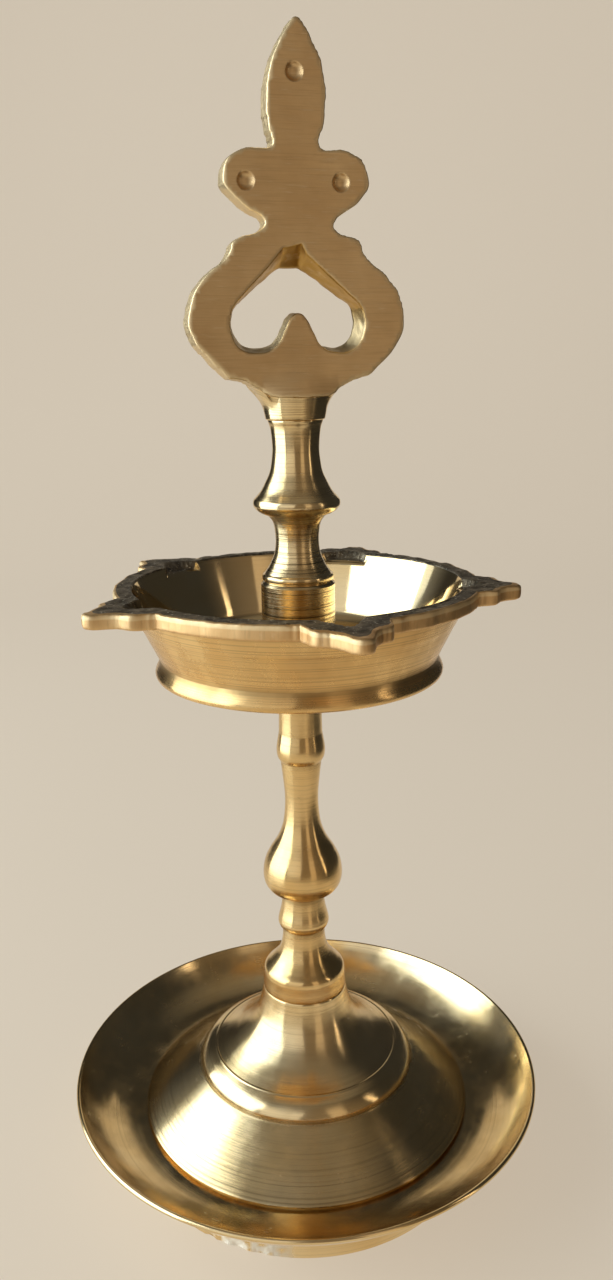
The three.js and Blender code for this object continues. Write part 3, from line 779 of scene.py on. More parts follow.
# Front, right, back right, back left and left.
SPOUT_REACH = np.array([42.0, 39.0, 37.6, 39.3, 40.8])
SPOUT_LEAN = np.radians([0.0, -3.0, 3.5, 3.0, 3.0])
SPOUT_SIDE = [
    [(drawn_reach, 0.0), (41.1, 0.7), (40.4, 1.5), (38.9, 2.1), (37.4, 2.9), (36.3, 3.9)],
    [(36.3, 3.9), (36.0, 4.8), (35.6, 5.7), (34.6, 6.3), (33.3, 6.5), (32.2, 7.0)],
]


def nearest_spout(angle):
    """The number of the nearest spout, and the angle from its middle line, leaning included."""
    turn = (angle + np.pi / 2) / SPOUT_STEP
    number = np.round(turn).astype(int)
    away = (turn - number) * SPOUT_STEP - SPOUT_LEAN[number % SPOUTS]
    return number % SPOUTS, away


def rim_plan(angle):
    """Radius of the rim's outer edge at each angle, a little uneven as the casting left it."""
    side = outline(*[curve(part, 0.1) for part in SPOUT_SIDE])
    side_angle = np.arctan2(side[:, 1], side[:, 0])
    share = (np.hypot(side[:, 0], side[:, 1]) - rim_radius) / (drawn_reach - rim_radius)
    order = np.argsort(side_angle)
    number, away = nearest_spout(angle)
    out = np.interp(np.abs(away), side_angle[order], share[order], right=0.0)
    plan = rim_radius + np.clip(out, 0, None) * (SPOUT_REACH[number] - rim_radius)
    edge = np.stack([plan * np.cos(angle), plan * np.sin(angle)], -1)
    return plan + 0.1 * unevenness(edge, 7.0, 3) + 0.035 * unevenness(edge, 1.6, 4)


def bowl_angles():
    """Angles round the bowl, close together across each spout and wider between them."""
    near = np.radians(np.arange(-16.8, 16.81, 0.35))
    wide = np.radians(np.arange(18.2, 54.0, 1.6))
    sector = np.concatenate([near, wide])
    turns = np.arange(SPOUTS)[:, None] * SPOUT_STEP - np.pi / 2
    return (turns + sector).ravel()


# %% Bowl surface
boss_radius = 6.55
boss_top = top("oil_bowl")
floor_height = bowl_foot + 3.2
BOWL_WALL = [
    [(25.0, 0.0), (25.55, 0.25), (25.8, 0.8), (25.75, 1.3), (25.4, 2.0), (25.05, 2.7)],
    [(25.05, 2.7), (24.95, 3.2), (25.2, 4.1), (27.9, 9.7)],
    [(27.9, 9.7), (28.1, 9.95)],
    [(28.1, 9.95), (29.1, 12.2), (29.7, 13.6)],
]
rim_below, rim_edge, rim_face, mouth, well = joined(
    (wall_top_radius, rim_under),
    (0.35, (rim_radius - 0.5, rim_under)),
    (
        0.2,
        (rim_radius - 0.12, rim_under + 0.15),
        (rim_radius, rim_under + 0.6),
        (rim_radius, rim_top - 0.6),
        (rim_radius - 0.12, rim_top - 0.15),
        (rim_radius - 0.5, rim_top),
    ),
    (0.2, (mouth_radius + 0.25, rim_top)),
    (0.1, (mouth_radius + 0.05, rim_top - 0.1), (mouth_radius - 0.1, rim_top - 0.35)),
    (
        0.45,
        (24.6, bowl_foot + 6.45),
        (23.6, bowl_foot + 4.6),
        (21.6, bowl_foot + 3.5),
        (18.5, floor_height),
        (15.0, floor_height),
    ),
)
boss = joined(
    (boss_radius + 0.7, bowl_foot),
    (1.0, (boss_radius + 1.0, floor_height)),
    (0.15, (boss_radius + 0.3, floor_height + 0.3), (boss_radius, floor_height + 1.0)),
    (0.12, (boss_radius, boss_top - 0.65)),
    (0.12, (5.95, boss_top)),
    (0.5, (socket + 0.4, boss_top)),
)
shell_inside = boss_radius + 0.5
bowl_outline = outline(
    curve([(shell_inside, bowl_foot), (25.0, bowl_foot)], 2.5),
    *standing(BOWL_WALL, bowl_foot, 0.35),
    *(rim_below, rim_edge, rim_face, mouth, well),
    curve([(15.0, floor_height), (shell_inside, floor_height)], 2.5),
)


def row_at(point):
    """The row of the bowl's outline that lies at a point."""
    return np.argmin(np.linalg.norm(bowl_outline - point, axis=1))


first_rim, last_rim = row_at(rim_below[0]), row_at(mouth[-1])
groove_start = 29.3
groove_point = 34.9
groove_half_width = 3.7
groove_depth = 1.45


def bowl_shape(radius, height, angle):
    """Stretches the rim's rows out to the plan and sinks the wick grooves.

    A row's share of the way from the wall's top, or from the mouth, to the rim's circle becomes
    its share of the way to the plan. A groove is a V in plan whose floor falls evenly from its
    point on the spout to the mouth, with a rounded foot along its sides."""
    rows = np.arange(len(radius))[:, None]
    rim = (rows >= first_rim) & (rows <= last_rim)
    inner = np.where(height > (rim_top + rim_under) / 2, mouth_radius, wall_top_radius)
    share = np.clip((radius - inner) / (rim_radius - inner), 0, None)
    stretched = inner + share * (rim_plan(angle) - inner)
    radius = np.where(rim & (radius > inner), stretched, radius)

    number, away = nearest_spout(angle)
    point = groove_point + 0.7 * (SPOUT_REACH[number] - SPOUT_REACH[0])
    along, across = radius * np.cos(away), np.abs(radius * np.sin(away))
    run = np.clip((point - along) / (point - groove_start), 0, 1.3)
    side = np.clip((groove_half_width * run - across) / 0.35, 0, 1)
    side = side * side * (3 - 2 * side)
    sunk = groove_depth * run * side * (rows >= first_rim + 4)
    floor = rim_top - sunk
    over = (radius > mouth_radius - 1.6) & (height > rim_top - 3)
    place = np.stack([radius * np.cos(angle), radius * np.sin(angle)], -1)
    bumps = 0.07 * unevenness(place, 5.0, 8) + 0.03 * unevenness(place, 1.4, 9)
    cast_top = rim & (height > rim_top - 0.5) & (radius > mouth_radius + 0.3)
    height = np.where(over, np.minimum(height, floor), height)
    return radius, height + np.where(cast_top, np.minimum(bumps - 0.1, 0.0), 0)


on_wall = np.arange(len(bowl_outline)) < first_rim
bowl_lines = np.where(on_wall, 0.5, 0.12)
oil_bowl = revolve(
    "oil_bowl_fine", bowl_outline, closed=True, lines=bowl_lines, bend=bowl_shape, angles=bowl_angles()
)
row_of_face = np.repeat(np.arange(len(bowl_outline)), len(bowl_angles()))
zone = np.searchsorted([first_rim, row_at(rim_face[0]), last_rim], row_of_face, side="right")
oil_bowl.data.polygons.foreach_set("material_index", zone.astype(np.int32))
co = vertices(oil_bowl)
angle = np.arctan2(co[:, 1], co[:, 0])
reach = np.hypot(co[:, 0], co[:, 1]) - rim_plan(angle)
uneven = unevenness(co[:, :2], 4.0, 12)
wear = np.clip(1 + reach / (0.3 + 0.15 * uneven), 0, 1) * (co[:, 2] > rim_top - 0.9)
paint(oil_bowl, "wear", wear)
settle(oil_bowl, "bowl", ["oil_bowl"], "polished_brass", satin_brass, filed, cast, mirror_brass)

# %% Bowl boss
boss_outline = outline(
    *socket_under(bowl_foot),
    curve([(socket + 0.4, bowl_foot), (boss_radius + 0.7, bowl_foot)], 0.9),
    *boss,
    *bored_socket(boss_top),
)
boss_piece = revolve(
    "oil_bowl_boss", boss_outline, 128, lines=1.0, bend=threaded([bowl_foot, boss_top])
)
settle(boss_piece, "bowl", ["oil_bowl"], "polished_brass", polished_brass)

# %% [markdown]
# ## Finial
#
# A cast plate with a heart-shaped window, drafted towards the back and ground flat in front. Its
# face stands forward of the lamp's axis by the plate's thickness, and it swells a little down to
# the collar. A flat curve could be extruded for it, but then its face couldn't swell or carry
# drilled dimples, and its walls couldn't slope. So the front and the back are triangle nets over
# the same outline, and rows of quads make the walls between them. The plate was dressed by hand,
# so it isn't quite symmetrical.

# %% Finial outline
finial_seat = seat("finial")
plate_thickness = 4.5
plate_foot = 3.7
HALF_PLATE = [
    [
        (0.0, 60.1), (0.7, 59.7), (1.7, 58.2), (2.7, 56.4), (3.6, 54.6), (4.15, 52.9),
        (4.5, 51.2), (4.65, 48.8), (4.6, 46.35), (4.3, 44.65), (3.8, 43.75), (3.6, 42.9),
    ],
    [
        (3.6, 42.9), (3.8, 42.0), (4.55, 41.5), (6.8, 41.6), (8.7, 41.3), (10.3, 40.5), (11.1, 39.6),
        (11.6, 38.4),
    ],
    [(11.6, 38.4), (11.8, 37.05), (11.5, 35.95), (10.8, 35.05), (9.4, 33.6), (7.7, 32.6), (6.1, 31.6)],
    [(6.1, 31.6), (5.6, 30.7), (6.0, 29.8), (7.4, 28.95), (9.0, 28.6), (10.0, 28.2)],
    [(10.0, 28.2), (10.6, 27.6), (10.8, 26.8)],
    [
        (10.8, 26.8), (11.8, 25.2), (14.3, 23.3), (16.1, 21.4), (17.1, 19.6), (17.7, 17.8),
        (17.95, 16.0), (17.7, 14.15), (16.8, 12.25), (15.4, 10.4), (13.3, 8.5),
    ],
    [(13.3, 8.5), (12.2, 7.4), (11.6, 7.0)],
    [(11.6, 7.0), (9.3, 6.5), (8.2, 5.95), (6.7, 5.2), (5.6, 4.25), (3.8, 3.9), (0.0, plate_foot)],
]
HALF_WINDOW = [
    [(0.0, 27.5), (0.6, 26.9)],
    [(0.6, 26.9), (10.1, 18.7)],
    [
        (10.1, 18.7), (10.95, 17.3), (11.3, 15.5), (10.95, 13.55), (9.9, 11.85), (8.3, 10.95),
        (6.5, 10.85), (4.85, 11.25), (3.35, 12.45), (2.45, 14.05), (1.7, 15.7), (0.8, 16.8),
        (0.0, 17.05),
    ],
]
# How far the hand-dressed outline lies to the right of a symmetrical one, by height.
PLATE_LEAN = [
    (3.5, 0.0), (16, -0.15), (29, -0.1), (31, 0.35), (37, -0.1), (43, -0.2), (49, 0.0), (60, 0.15),
]
WINDOW_LEAN_RIGHT = [(10.8, -0.2), (18.7, -0.2), (21.0, -0.35), (26.0, -0.3), (27.5, 0.35)]
WINDOW_LEAN_LEFT = [(10.8, -0.2), (18.7, -0.2), (21.5, -0.7), (24.0, -1.1), (26.9, -1.9), (27.5, 0.35)]


def whole_loop(half_parts, step):
    """A closed loop from a half outline that starts and ends on the middle line."""
    half = outline(*[curve(part, step) for part in half_parts])
    return np.vstack([half, half[-2:0:-1] * [-1, 1]])


def leaning(loop, *leans):
    """The loop shifted sideways by height, by one list of shifts or one each for right and left."""
    shifts = [np.interp(loop[:, 1], *np.transpose(lean)) for lean in leans]
    return loop + np.column_stack([np.where(loop[:, 0] < 0, shifts[-1], shifts[0]), np.zeros(len(loop))])


def inset(loop, distance):
    """The loop moved inwards, to the side that lies at the right hand of its direction."""
    ahead = np.roll(loop, -1, axis=0) - np.roll(loop, 1, axis=0)
    ahead /= np.linalg.norm(ahead, axis=1, keepdims=True)
    return loop + distance * np.column_stack([ahead[:, 1], -ahead[:, 0]])


def inside(points, loop):
    """Which points lie inside a loop, by counting the edges that a level ray crosses."""
    x, z = points[:, 0, None], points[:, 1, None]
    x0, z0 = loop[:, 0], loop[:, 1]
    x1, z1 = np.roll(x0, -1), np.roll(z0, -1)
    crosses = (z0 > z) != (z1 > z)
    rise = np.where(z1 == z0, 1e-9, z1 - z0)
    left = x < x0 + (z - z0) / rise * (x1 - x0)
    return (crosses & left).sum(1) % 2 == 1


plate_loop = leaning(whole_loop(HALF_PLATE, 0.3), PLATE_LEAN)
window_loop = leaning(whole_loop(HALF_WINDOW, 0.3), WINDOW_LEAN_RIGHT, WINDOW_LEAN_LEFT)
plate_uneven = 0.06 * unevenness(plate_loop, 4.5, 21) + 0.035 * unevenness(plate_loop, 1.0, 23)
plate_loop += plate_uneven[:, None]
window_loop += 0.05 * unevenness(window_loop, 3.5, 22)[:, None]
print("finial outline:", len(plate_loop), "points, window:", len(window_loop))

# %% Finial surface
DIMPLES = [(-0.3, 52.5), (-8.3, 36.8), (7.05, 36.85)]
dimple_radius = 1.45
dimple_depth = 0.7
swelling = 1.4
swelling_height = 4.4
cone_top = 14.6
# The nets' points lie this far apart, closer over the swelling, and are shifted a little at random.
coarse_gap, fine_gap, jitter = 0.7, 0.3, 0.03
cone_foot_radius = 5.9


def front_depth(points):
    """How far the face stands in front of the axis: flat, with a swelling over the collar.

    The swelling falls off in a straight line upwards and as a parabola to the sides, with a low
    ridge a little to the right of the middle, where two directions of grinding meet."""
    x, z = points[:, 0], points[:, 1]
    upwards = np.clip(1 - (z - plate_foot) / swelling_height, 0, 1)
    sideways = np.clip(1 - (x / 6.4) ** 2, 0, 1)
    ridge_x = 1.0 + 0.35 * np.sin(z * 1.7)
    ridge = 0.16 * np.clip(1 - np.abs(x - ridge_x) / 3.5, 0, 1) * np.clip((17 - z) / 6, 0, 1)
    return plate_thickness + swelling * upwards * sideways + ridge * (1 - upwards) * sideways


def back_depth(points):
    """How far the back stands behind the axis: flat, or where the cone shows, round.

    The cone runs from the collar's radius down to half the plate's thickness under the window."""
    x, z = points[:, 0], points[:, 1]
    share = np.clip((z - plate_foot) / (cone_top - plate_foot), 0, 1)
    cone = cone_foot_radius + share * (plate_thickness / 2 - cone_foot_radius)
    return np.sqrt(np.clip(cone**2 - x**2, 0, None)) * (share < 1)


def dimple_sink(points):
    """Depth of the drilled dimples: a shallow cone with a blunt point and a soft lip."""
    total = np.zeros(len(points))
    for x, z in DIMPLES:
        away = np.hypot(points[:, 0] - x, points[:, 1] - z) / dimple_radius
        total += dimple_depth * np.clip(1.0 - away**3, 0, 1)
    return total


def spread(loop, amount, points=None):
    """Points drawn apart or together about the loop's middle, by this much at its extremes."""
    low, high = loop.min(0), loop.max(0)
    middle, half = (low + high) / 2, (high - low) / 2
    points = loop if points is None else points
    return middle + (points - middle) * (1 + amount / half)


def net(outer, inner):
    """A triangle net between an outer and an inner loop, with extra points inside it."""
    low, high = outer.min(0), outer.max(0)
    spans = [np.arange(low[k], high[k], coarse_gap) for k in range(2)]
    coarse = np.stack(np.meshgrid(*spans), -1)
    fine = np.stack(np.meshgrid(np.arange(-6.6, 6.6, fine_gap), np.arange(3.6, 15.6, fine_gap)), -1)
    rings = [
        np.column_stack([x + r * np.cos(a), z + r * np.sin(a)])
        for x, z in DIMPLES
        for r in np.linspace(0.15, 1.8, 12)
        for a in [np.linspace(0, 2 * np.pi, 28, endpoint=False)]
    ]
    extra = np.vstack([coarse.reshape(-1, 2), fine.reshape(-1, 2), *rings])
    random = np.random.default_rng(5)
    extra += random.uniform(-jitter, jitter, extra.shape)
    keep = inside(extra, inset(outer, 0.3)) & ~inside(extra, inset(inner, -0.3))
    points = np.vstack([outer, inner, extra[keep]])
    first, second = len(outer), len(inner)
    ring_a = np.column_stack([np.arange(first), np.roll(np.arange(first), -1)])
    ring_b = np.column_stack([np.arange(second), np.roll(np.arange(second), -1)]) + first
    made = delaunay_2d_cdt([Vector(p) for p in points], np.vstack([ring_a, ring_b]).tolist(), [], 0, 1e-6)
    flat = np.array([v[:] for v in made[0]])
    triangles = np.array([f for f in made[2] if len(f) == 3])
    centre = flat[triangles].mean(1)
    keep = inside(centre, outer) & ~inside(centre, inner)
    return flat, triangles[keep]


edge_round = 0.16
rows_through = 10
edge_draft = 0.25
window_draft = -0.9
front_outer, front_inner = inset(plate_loop, edge_round), inset(window_loop, -edge_round)
back_outer = spread(front_outer, edge_draft)
back_inner = spread(front_inner, window_draft)
# Behind, the window's two upper slopes hang lower towards their point, which is blunt.
hang_start, hang, blunt_top = 18.5, 1.3, 24.5
bend_top = 18.0
share = np.clip((back_inner[:, 1] - hang_start) / (27.3 - hang_start), 0, 1)
hanging = -np.logaddexp(-2 * (back_inner[:, 1] - hang * share), -2 * blunt_top) / 2
back_inner[:, 1] = np.where(share > 0, hanging, back_inner[:, 1])
flat, triangles = net(front_outer, front_inner)


def draft_to_back(points):
    """Carries points of the front net to the back, between the two loops' own drafts.

    Near the window the points follow it inwards, and near the edge they follow that outwards."""
    to_window = np.min(np.linalg.norm(points[:, None] - front_inner[None, ::4], axis=2), axis=1)
    to_edge = np.min(np.linalg.norm(points[:, None] - front_outer[None, ::4], axis=2), axis=1)
    share = (to_edge / (to_window + to_edge + 1e-9))[:, None]
    outwards = spread(front_outer, edge_draft, points)
    inwards = spread(front_inner, window_draft, points)
    return outwards * (1 - share) + inwards * share


def finial_plate():
    """Vertices and faces of the plate, closed: front net, back net and the walls between."""
    back = draft_to_back(flat)
    on_outer = slice(0, len(front_outer))
    on_inner = slice(len(front_outer), len(front_outer) + len(front_inner))
    back[on_outer], back[on_inner] = back_outer, back_inner
    front_y = -front_depth(flat) + dimple_sink(flat)
    back_y = back_depth(back) - 0.06 + 0.05 * unevenness(back, 4.0, 31)
    count = len(flat)
    co = [np.column_stack([flat[:, 0], front_y, flat[:, 1]])]
    co.append(np.column_stack([back[:, 0], back_y, back[:, 1]]))
    faces = [triangles, triangles[:, ::-1] + count]
    wear = [np.zeros(count), np.full(count, 0.3)]
    start = 2 * count
    walls = [(front_outer, back_outer, on_outer, 1), (front_inner, back_inner, on_inner, -1)]
    for near, far, where, sense in walls:
        near, far = inset(near, -edge_round * sense), inset(far, -edge_round * sense)
        low, high = front_y[where] + edge_round, back_y[where] - edge_round
        first = previous = np.arange(count)[where]
        for k in range(rows_through + 1):
            share = k / rows_through
            loop = near * (1 - share) + far * share
            y = low * (1 - share) + high * share
            rough = 0.05 * unevenness(np.column_stack([loop, y]), 2.2, 33) * min(1, 3 * share)
            loop = inset(loop, -sense * rough[:, None])
            co.append(np.column_stack([loop[:, 0], y, loop[:, 1]]))
            low_bend = np.clip((bend_top - loop[:, 1]) / 3, 0, 1)
            wear.append(np.full(len(loop), 1.0 if k == 0 else 0.7) if sense > 0 else low_bend)
            row = start + np.arange(len(loop))
            start += len(loop)
            faces.append(strip(previous, row, sense))
            previous = row
        faces.append(strip(previous, first + count, sense))
    wear[0][on_outer] = 0.9
    wear[0][on_inner] = 0.3
    foot_edge = np.clip(1 - (flat[:, 1] - plate_foot) / 0.7, 0, 1) * (np.abs(flat[:, 0]) < 6)
    wear[0] = np.maximum(wear[0], foot_edge)
    return np.vstack(co), [f for part in faces for f in part.tolist()], np.concatenate(wear)


def strip(near, far, sense):
    """Quads between two loops of the same length, turned to face out of the plate."""
    quads = np.stack([near, np.roll(near, -1), np.roll(far, -1), far], -1)
    return quads if sense > 0 else quads[:, ::-1]


plate_co, plate_faces, plate_wear = finial_plate()
plate_co[:, 2] += finial_seat
finial = add_mesh("finial_fine", plate_co, plate_faces, values={"wear": plate_wear})
print("finial plate points:", len(plate_co))
settle(finial, "top", ["finial"], "ground_brass", ground, window_shade_brass)
# Faces of the window's walls take the brass with the painted shade and reflection.
in_window = np.arange(len(plate_faces)) >= len(plate_faces) - (rows_through + 2) * len(front_inner)
finial.data.polygons.foreach_set("material_index", in_window.astype(np.int32))

# %% Finial collar
cone_radius = 5.85
COLLAR_SHAPE = [
    [(4.75, 0.0), (5.0, 0.04), (5.12, 0.2)],
    [(5.12, 0.2), (5.5, 2.0), (cone_radius, plate_foot)],
    [(cone_radius, plate_foot), (0.0, 6.0)],
]
flare_reach = 8.5
flare_foot = 1.2
# Angles from the front, in radians: where the flare starts and how soon it is whole, and how
# soon it has gone again behind the sides.
flare_start, flare_run, flare_end_run = 0.7, 0.75, 0.35
UNDER_EDGE = [(0.0, 3.7), (3.8, 3.85), (5.6, 4.15), (6.7, 5.1), (8.2, 5.85), (9.3, 6.4)]


def collar_flare(radius, height, angle):
    """Draws the collar's top out at both sides into a cove that meets the plate's lower edge.

    The reach goes from the cone's own radius in front to the plate's corner at the side, and back
    again behind. A row's share of the way up sets how much of that reach it takes."""
    from_front = np.abs(np.angle(np.exp(1j * (angle + np.pi / 2))))
    ahead = np.maximum(np.cos(from_front), 1e-3)
    aside = np.maximum(np.sin(from_front), 1e-3)
    sideways = np.clip((from_front - flare_start) / flare_run, 0, 1)
    behind = np.clip((from_front - np.pi / 2) / flare_end_run, 0, 1)
    reach = cone_radius + (flare_reach - cone_radius) * sideways**2 * (3 - 2 * sideways) * (1 - behind)
    reach = np.minimum(reach, np.where(from_front < 1.5, (plate_thickness - 0.1) / ahead, reach))
    least = np.where(from_front < flare_start, cone_radius, cone_radius * (1 - behind))
    reach = np.where(from_front < flare_start, least, np.maximum(reach, least))
    lift = np.interp(reach * aside, *np.transpose(UNDER_EDGE)) - plate_foot
    lift = np.where(behind > 0, lift * (1 - behind), lift)
    up = height - finial_seat
    share = np.clip((up - flare_foot) / (plate_foot - flare_foot), 0, 1)
    share = np.where(radius < socket + 0.5, 0, share)
    outer = radius + share**2 * (reach - cone_radius) * radius / cone_radius
    return outer, height + share * lift


collar_outline = outline(
    *socket_under(finial_seat),
    curve([(socket + 0.4, finial_seat), (4.75, finial_seat)], 0.5),
    *standing(COLLAR_SHAPE, finial_seat, 0.1),
)
collar_cut = threaded([finial_seat])


def collar_bend(radius, height, angle):
    """The flare and the thread together."""
    return collar_cut(*collar_flare(radius, height, angle), angle)


collar = revolve("finial_collar", collar_outline, 160, lines=0.6, bend=collar_bend)
settle(collar, "top", ["finial"], "polished_brass", polished_brass)


# %% [markdown]
# ## Threaded studs, clamp screw and washer
#
# Each stud carries a real helix of the same pitch as the sockets: its radius depends on height
# and angle together. A stack of rings would look alike at rest, but would not match its socket
# as it turns. Eight whole turns lift a section by eight pitches, so the threads still match.

# %% Studs and screw
thread_crest = 2.5
thread_root = 2.08
thread_tip = 2.0


def thread_bend(crest, root, low, high):
    """Gives a plain rod a helical thread between two heights, fading out at both ends."""

    def bend(radius, height, angle):
        turn = height / pitch - angle / (2 * np.pi)
        ridge = 1 - np.abs(turn - np.round(turn)) * 2
        fade = np.clip(np.minimum(height - low, high - height) / 0.5, 0, 1)
        cut = root + (crest - root) * ridge
        return np.where(radius > crest - 0.02, radius + (cut - crest) * fade, radius), height

    return bend


def stud(node, body):
    """A threaded stud that stands for a plain CAD one."""
    low, high = seat(node), top(node)
    crest, root, tip = thread_crest, thread_root, thread_tip
    rod = joined(
        (0, low),
        (0.5, (tip, low)),
        (0.15, (crest, low + 0.5)),
        (0.08, (crest, high - 0.5)),
        (0.15, (tip, high)),
        (0.5, (0, high)),
    )
    bend = thread_bend(crest, root, low + 0.4, high - 0.4)
    piece = revolve(node + "_thread", outline(*rod), 64, lines=0.2, bend=bend)
    return settle(piece, body, [node], "polished_brass", polished_brass)


STUDS = {
    "stem_stud": "stem_thread",
    "bowl_stud": "bowl_thread",
    "upper_stud": "upper_thread",
    "finial_stud": "finial_thread",
}
studs = [stud(node, body) for node, body in STUDS.items()]

screw_low, screw_high = seat("base_screw"), top("base_screw")
head_top = screw_low + 2.6
slot_half = 0.55
slot_floor = screw_low + 1.3


def slotted(radius, height, angle):
    """Sinks a straight slot across the screw's head and threads its shank."""
    threading = thread_bend(thread_crest, thread_root, head_top + 1.0, screw_high - 0.4)
    radius, height = threading(radius, height, angle)
    across = np.abs(radius * np.sin(angle))
    in_slot = np.clip((slot_half - across) / 0.06, 0, 1)
    return radius, np.where(height < slot_floor, height + in_slot * (slot_floor - height), height)


screw_outline = outline(
    *joined(
        (0, screw_low),
        (0.12, (3.0, screw_low)),
        (0.12, (3.9, screw_low + 0.5), (4.35, screw_low + 1.5), (4.4, head_top - 0.1)),
        (0.1, (4.3, head_top)),
        (0.3, (thread_crest, head_top)),
        (0.1, (thread_crest, screw_high - 0.5)),
        (0.15, (thread_tip, screw_high)),
        (0.5, (0, screw_high)),
    )
)
clamp_screw = revolve("clamp_screw", screw_outline, 180, bend=slotted)
settle(clamp_screw, "base", ["base_screw"], "plain_steel", steel)

washer_low, washer_high = seat("base_washer"), top("base_washer")
washer_outline = outline(
    *joined(
        (bore, washer_low),
        (0.4, (5.4, washer_low)),
        (0.1, (5.5, washer_low + 0.1)),
        (0.2, (5.5, washer_high - 0.1)),
        (0.1, (5.4, washer_high)),
        (0.4, (bore, washer_high)),
        (0.3, (bore, washer_low + 0.1)),
    )
)
washer = revolve("clamp_washer", washer_outline, 96, closed=True)
settle(washer, "base", ["base_washer"], "plain_steel", steel)

# %% [markdown]
# ## Studio and camera
#
# A pale floor that sweeps up behind the lamp, and soft light mostly from the left: a tall lamp,
# a little from above and a broad weak card. A weak warm card stands in front and a thin warm
# strip at the right. Polished metal shows what surrounds it, so the paper is narrow and the space
# beyond it is dim, which gives the brass its dark halves. One even light all round would be
# simpler, but would leave the metal flat.

# %% Floor
BACKDROP = colour(0.80, 0.70, 0.56)
camera_turn = math.radians(-13.4)
level_end = 0.5
sweep_radius = 0.4
wall_top = 0.56
glow_share = 0.6


def sweep_floor():
    """A roll of pale paper: level under the lamp, then a quarter circle up into a wall.

    It widens evenly away from the camera, as the picture's angle does, and is turned with it. It
    is wider on the left, where the metal mirrors more of it."""
    bend_angle = np.linspace(0, np.pi / 2, 16)[1:]
    level = np.linspace(-0.4, level_end, 9)
    away = np.concatenate([level, level_end + sweep_radius * np.sin(bend_angle)])
    height = np.concatenate([np.zeros(len(level)), sweep_radius * (1 - np.cos(bend_angle))])
    away, height = np.append(away, away[-1]), np.append(height, wall_top)
    right_half = 0.17 + 0.2 * np.clip(away, 0, None)
    left_half = 0.30 + 0.08 * np.clip(away, 0, None)
    side = np.stack([-left_half, right_half], -1)
    away, height = np.repeat(away[:, None], 2, 1), np.repeat(height[:, None], 2, 1)
    x = side * math.cos(camera_turn) - away * math.sin(camera_turn)
    y = side * math.sin(camera_turn) + away * math.cos(camera_turn)
    index = np.arange(x.size).reshape(-1, 2)
    faces = np.stack([index[:-1, 0], index[:-1, 1], index[1:, 1], index[1:, 0]], -1).tolist()
    return add_mesh("studio_floor", np.stack([x, y, height], -1).reshape(-1, 3) / MM, faces)


g = Graph(bpy.data.materials.new("studio_floor"))
mottle = g.noise(g.place(), 3.0, 3.0)
g.put(g.shader.inputs["Base Color"], g.blend(mottle, colour(0.76, 0.65, 0.51), colour(0.82, 0.72, 0.58)))
g.shader.inputs["Roughness"].default_value = 0.7
glow = g.node("Emission", Color=BACKDROP)
seen = g.node("LightPath").outputs
share = g.math("MAXIMUM", seen["Is Camera Ray"], seen["Is Glossy Ray"])
share = g.math("MAXIMUM", share, seen["Is Transmission Ray"])
lit = g.node("MixShader", Fac=g.math("MULTIPLY", share, glow_share))
g.tree.links.new(g.shader.outputs[0], lit.inputs[1])
g.tree.links.new(glow.outputs[0], lit.inputs[2])
g.tree.links.new(lit.outputs[0], g.tree.nodes["Material Output"].inputs["Surface"])
floor = sweep_floor()
floor.data.materials.append(g.owner)
floor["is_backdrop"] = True
print("floor:", [round(side, 2) for side in floor.dimensions], "m")

# %% Lights


def around(left_of_camera, distance, height):
    """A place round the lamp, by its angle to the left of the camera's direction, in metres."""
    angle = camera_turn - math.pi / 2 - math.radians(left_of_camera)
    return (distance * math.cos(angle), distance * math.sin(angle), height)


def soft_light(name, place, target, size, radiance, tint=(1, 1, 1)):
    """A rectangular light that faces a target. Its power follows from its size and radiance."""
    light = bpy.data.lights.new(name, "AREA")
    light.shape = "RECTANGLE"
    light.size, light.size_y = size
    light.energy = radiance * math.pi * size[0] * size[1]
    light.color = tint
    lamp = bpy.data.objects.new(name, light)
    bpy.context.scene.collection.objects.link(lamp)
    lamp.location = place
    lamp.rotation_mode = "QUATERNION"
    lamp.rotation_quaternion = (Vector(target) - Vector(place)).to_track_quat("-Z", "Y")
    lamp.visible_camera = False
    print(f"{name}: {light.energy:.2f} W")


COOL = (0.82, 0.92, 1.0)
WARM = (1.0, 0.82, 0.62)
soft_light("tall_left", around(82, 0.6, 0.23), (0, 0, 0.12), (0.74, 0.8), 3.0, COOL)
soft_light("above_left", around(104, 0.5, 0.42), (0, 0, 0.05), (0.4, 0.3), 1.2, COOL)
soft_light("card_left", around(26, 0.9, 0.4), (0, 0, 0.12), (0.7, 0.8), 0.5, (1.0, 0.96, 0.92))
soft_light("card_front", around(-31, 0.9, 0.35), (0, 0, 0.12), (0.26, 0.9), 0.4, WARM)
soft_light("edge_right", around(-70, 0.7, 0.27), (0, 0, 0.12), (0.06, 0.5), 1.8, WARM)

sky = Graph(bpy.data.worlds.new("studio"))
bpy.context.scene.world = sky.owner
view = sky.node("TexCoord").outputs["Generated"]


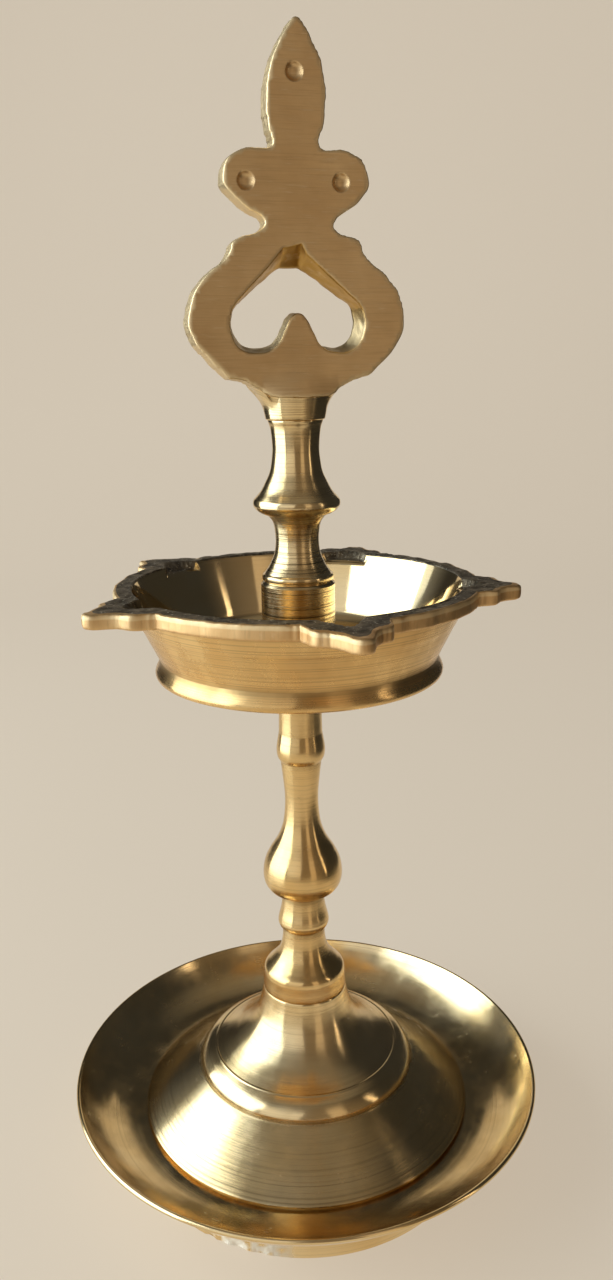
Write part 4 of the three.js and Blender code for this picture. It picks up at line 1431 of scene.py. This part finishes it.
def towards(direction, low, high):
    """How far the view direction turns towards a direction, as a share from 0 to 1."""
    facing = sky.node("VectorMath", {"operation": "DOT_PRODUCT"})
    sky.put(facing.inputs[0], view)
    sky.put(facing.inputs[1], Vector(direction).normalized())
    share = sky.span(facing.outputs["Value"], low, high)
    share.node.interpolation_type = "SMOOTHSTEP"
    return share


DIM = colour(0.035, 0.034, 0.032)
room = sky.blend(towards(around(-5, 1, 0.1), 0.1, 0.95), DIM, colour(0.22, 0.17, 0.12))
room = sky.blend(towards(around(68, 1, 0.3), 0.3, 1.0), room, colour(0.36, 0.38, 0.40))
room = sky.blend(towards((0, 0, 1), 0.75, 1.0), room, colour(0.24, 0.21, 0.17))
sky.put(sky.tree.nodes["Background"].inputs["Color"], room)

# %% Camera
camera_pitch = math.radians(14.85)
camera_roll = math.radians(-0.84)
focal_pixels = 1035.0
image_height = 1280.0
eye = Vector((1.35, -180.0, 150.75)) * MM

right = Vector((1, 0, 0))
forward = Vector((0, math.cos(camera_pitch), -math.sin(camera_pitch)))
upward = Vector((0, math.sin(camera_pitch), math.cos(camera_pitch)))
leaning_right = right * math.cos(camera_roll) + upward * math.sin(camera_roll)
leaning_up = upward * math.cos(camera_roll) - right * math.sin(camera_roll)
turn = Matrix.Rotation(camera_turn, 3, "Z")
axes = Matrix([turn @ leaning_right, turn @ leaning_up, turn @ -forward]).transposed()

camera_data = bpy.data.cameras.new("camera")
camera_data.sensor_width = 36.0
camera_data.lens = focal_pixels * camera_data.sensor_width / image_height
camera_data.clip_start = 0.01
camera = bpy.data.objects.new("camera", camera_data)
bpy.context.scene.collection.objects.link(camera)
camera.matrix_world = Matrix.Translation(turn @ eye) @ axes.to_4x4()
bpy.context.scene.camera = camera
bpy.context.scene.view_settings.view_transform = "Standard"
print("camera:", [round(side, 3) for side in camera.matrix_world.translation], "m")

# %% Finish
new_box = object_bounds()
for label, box in (("cad", cad_box), ("visual", new_box)):
    print(label, [round(v, 4) for corner in box for v in corner])
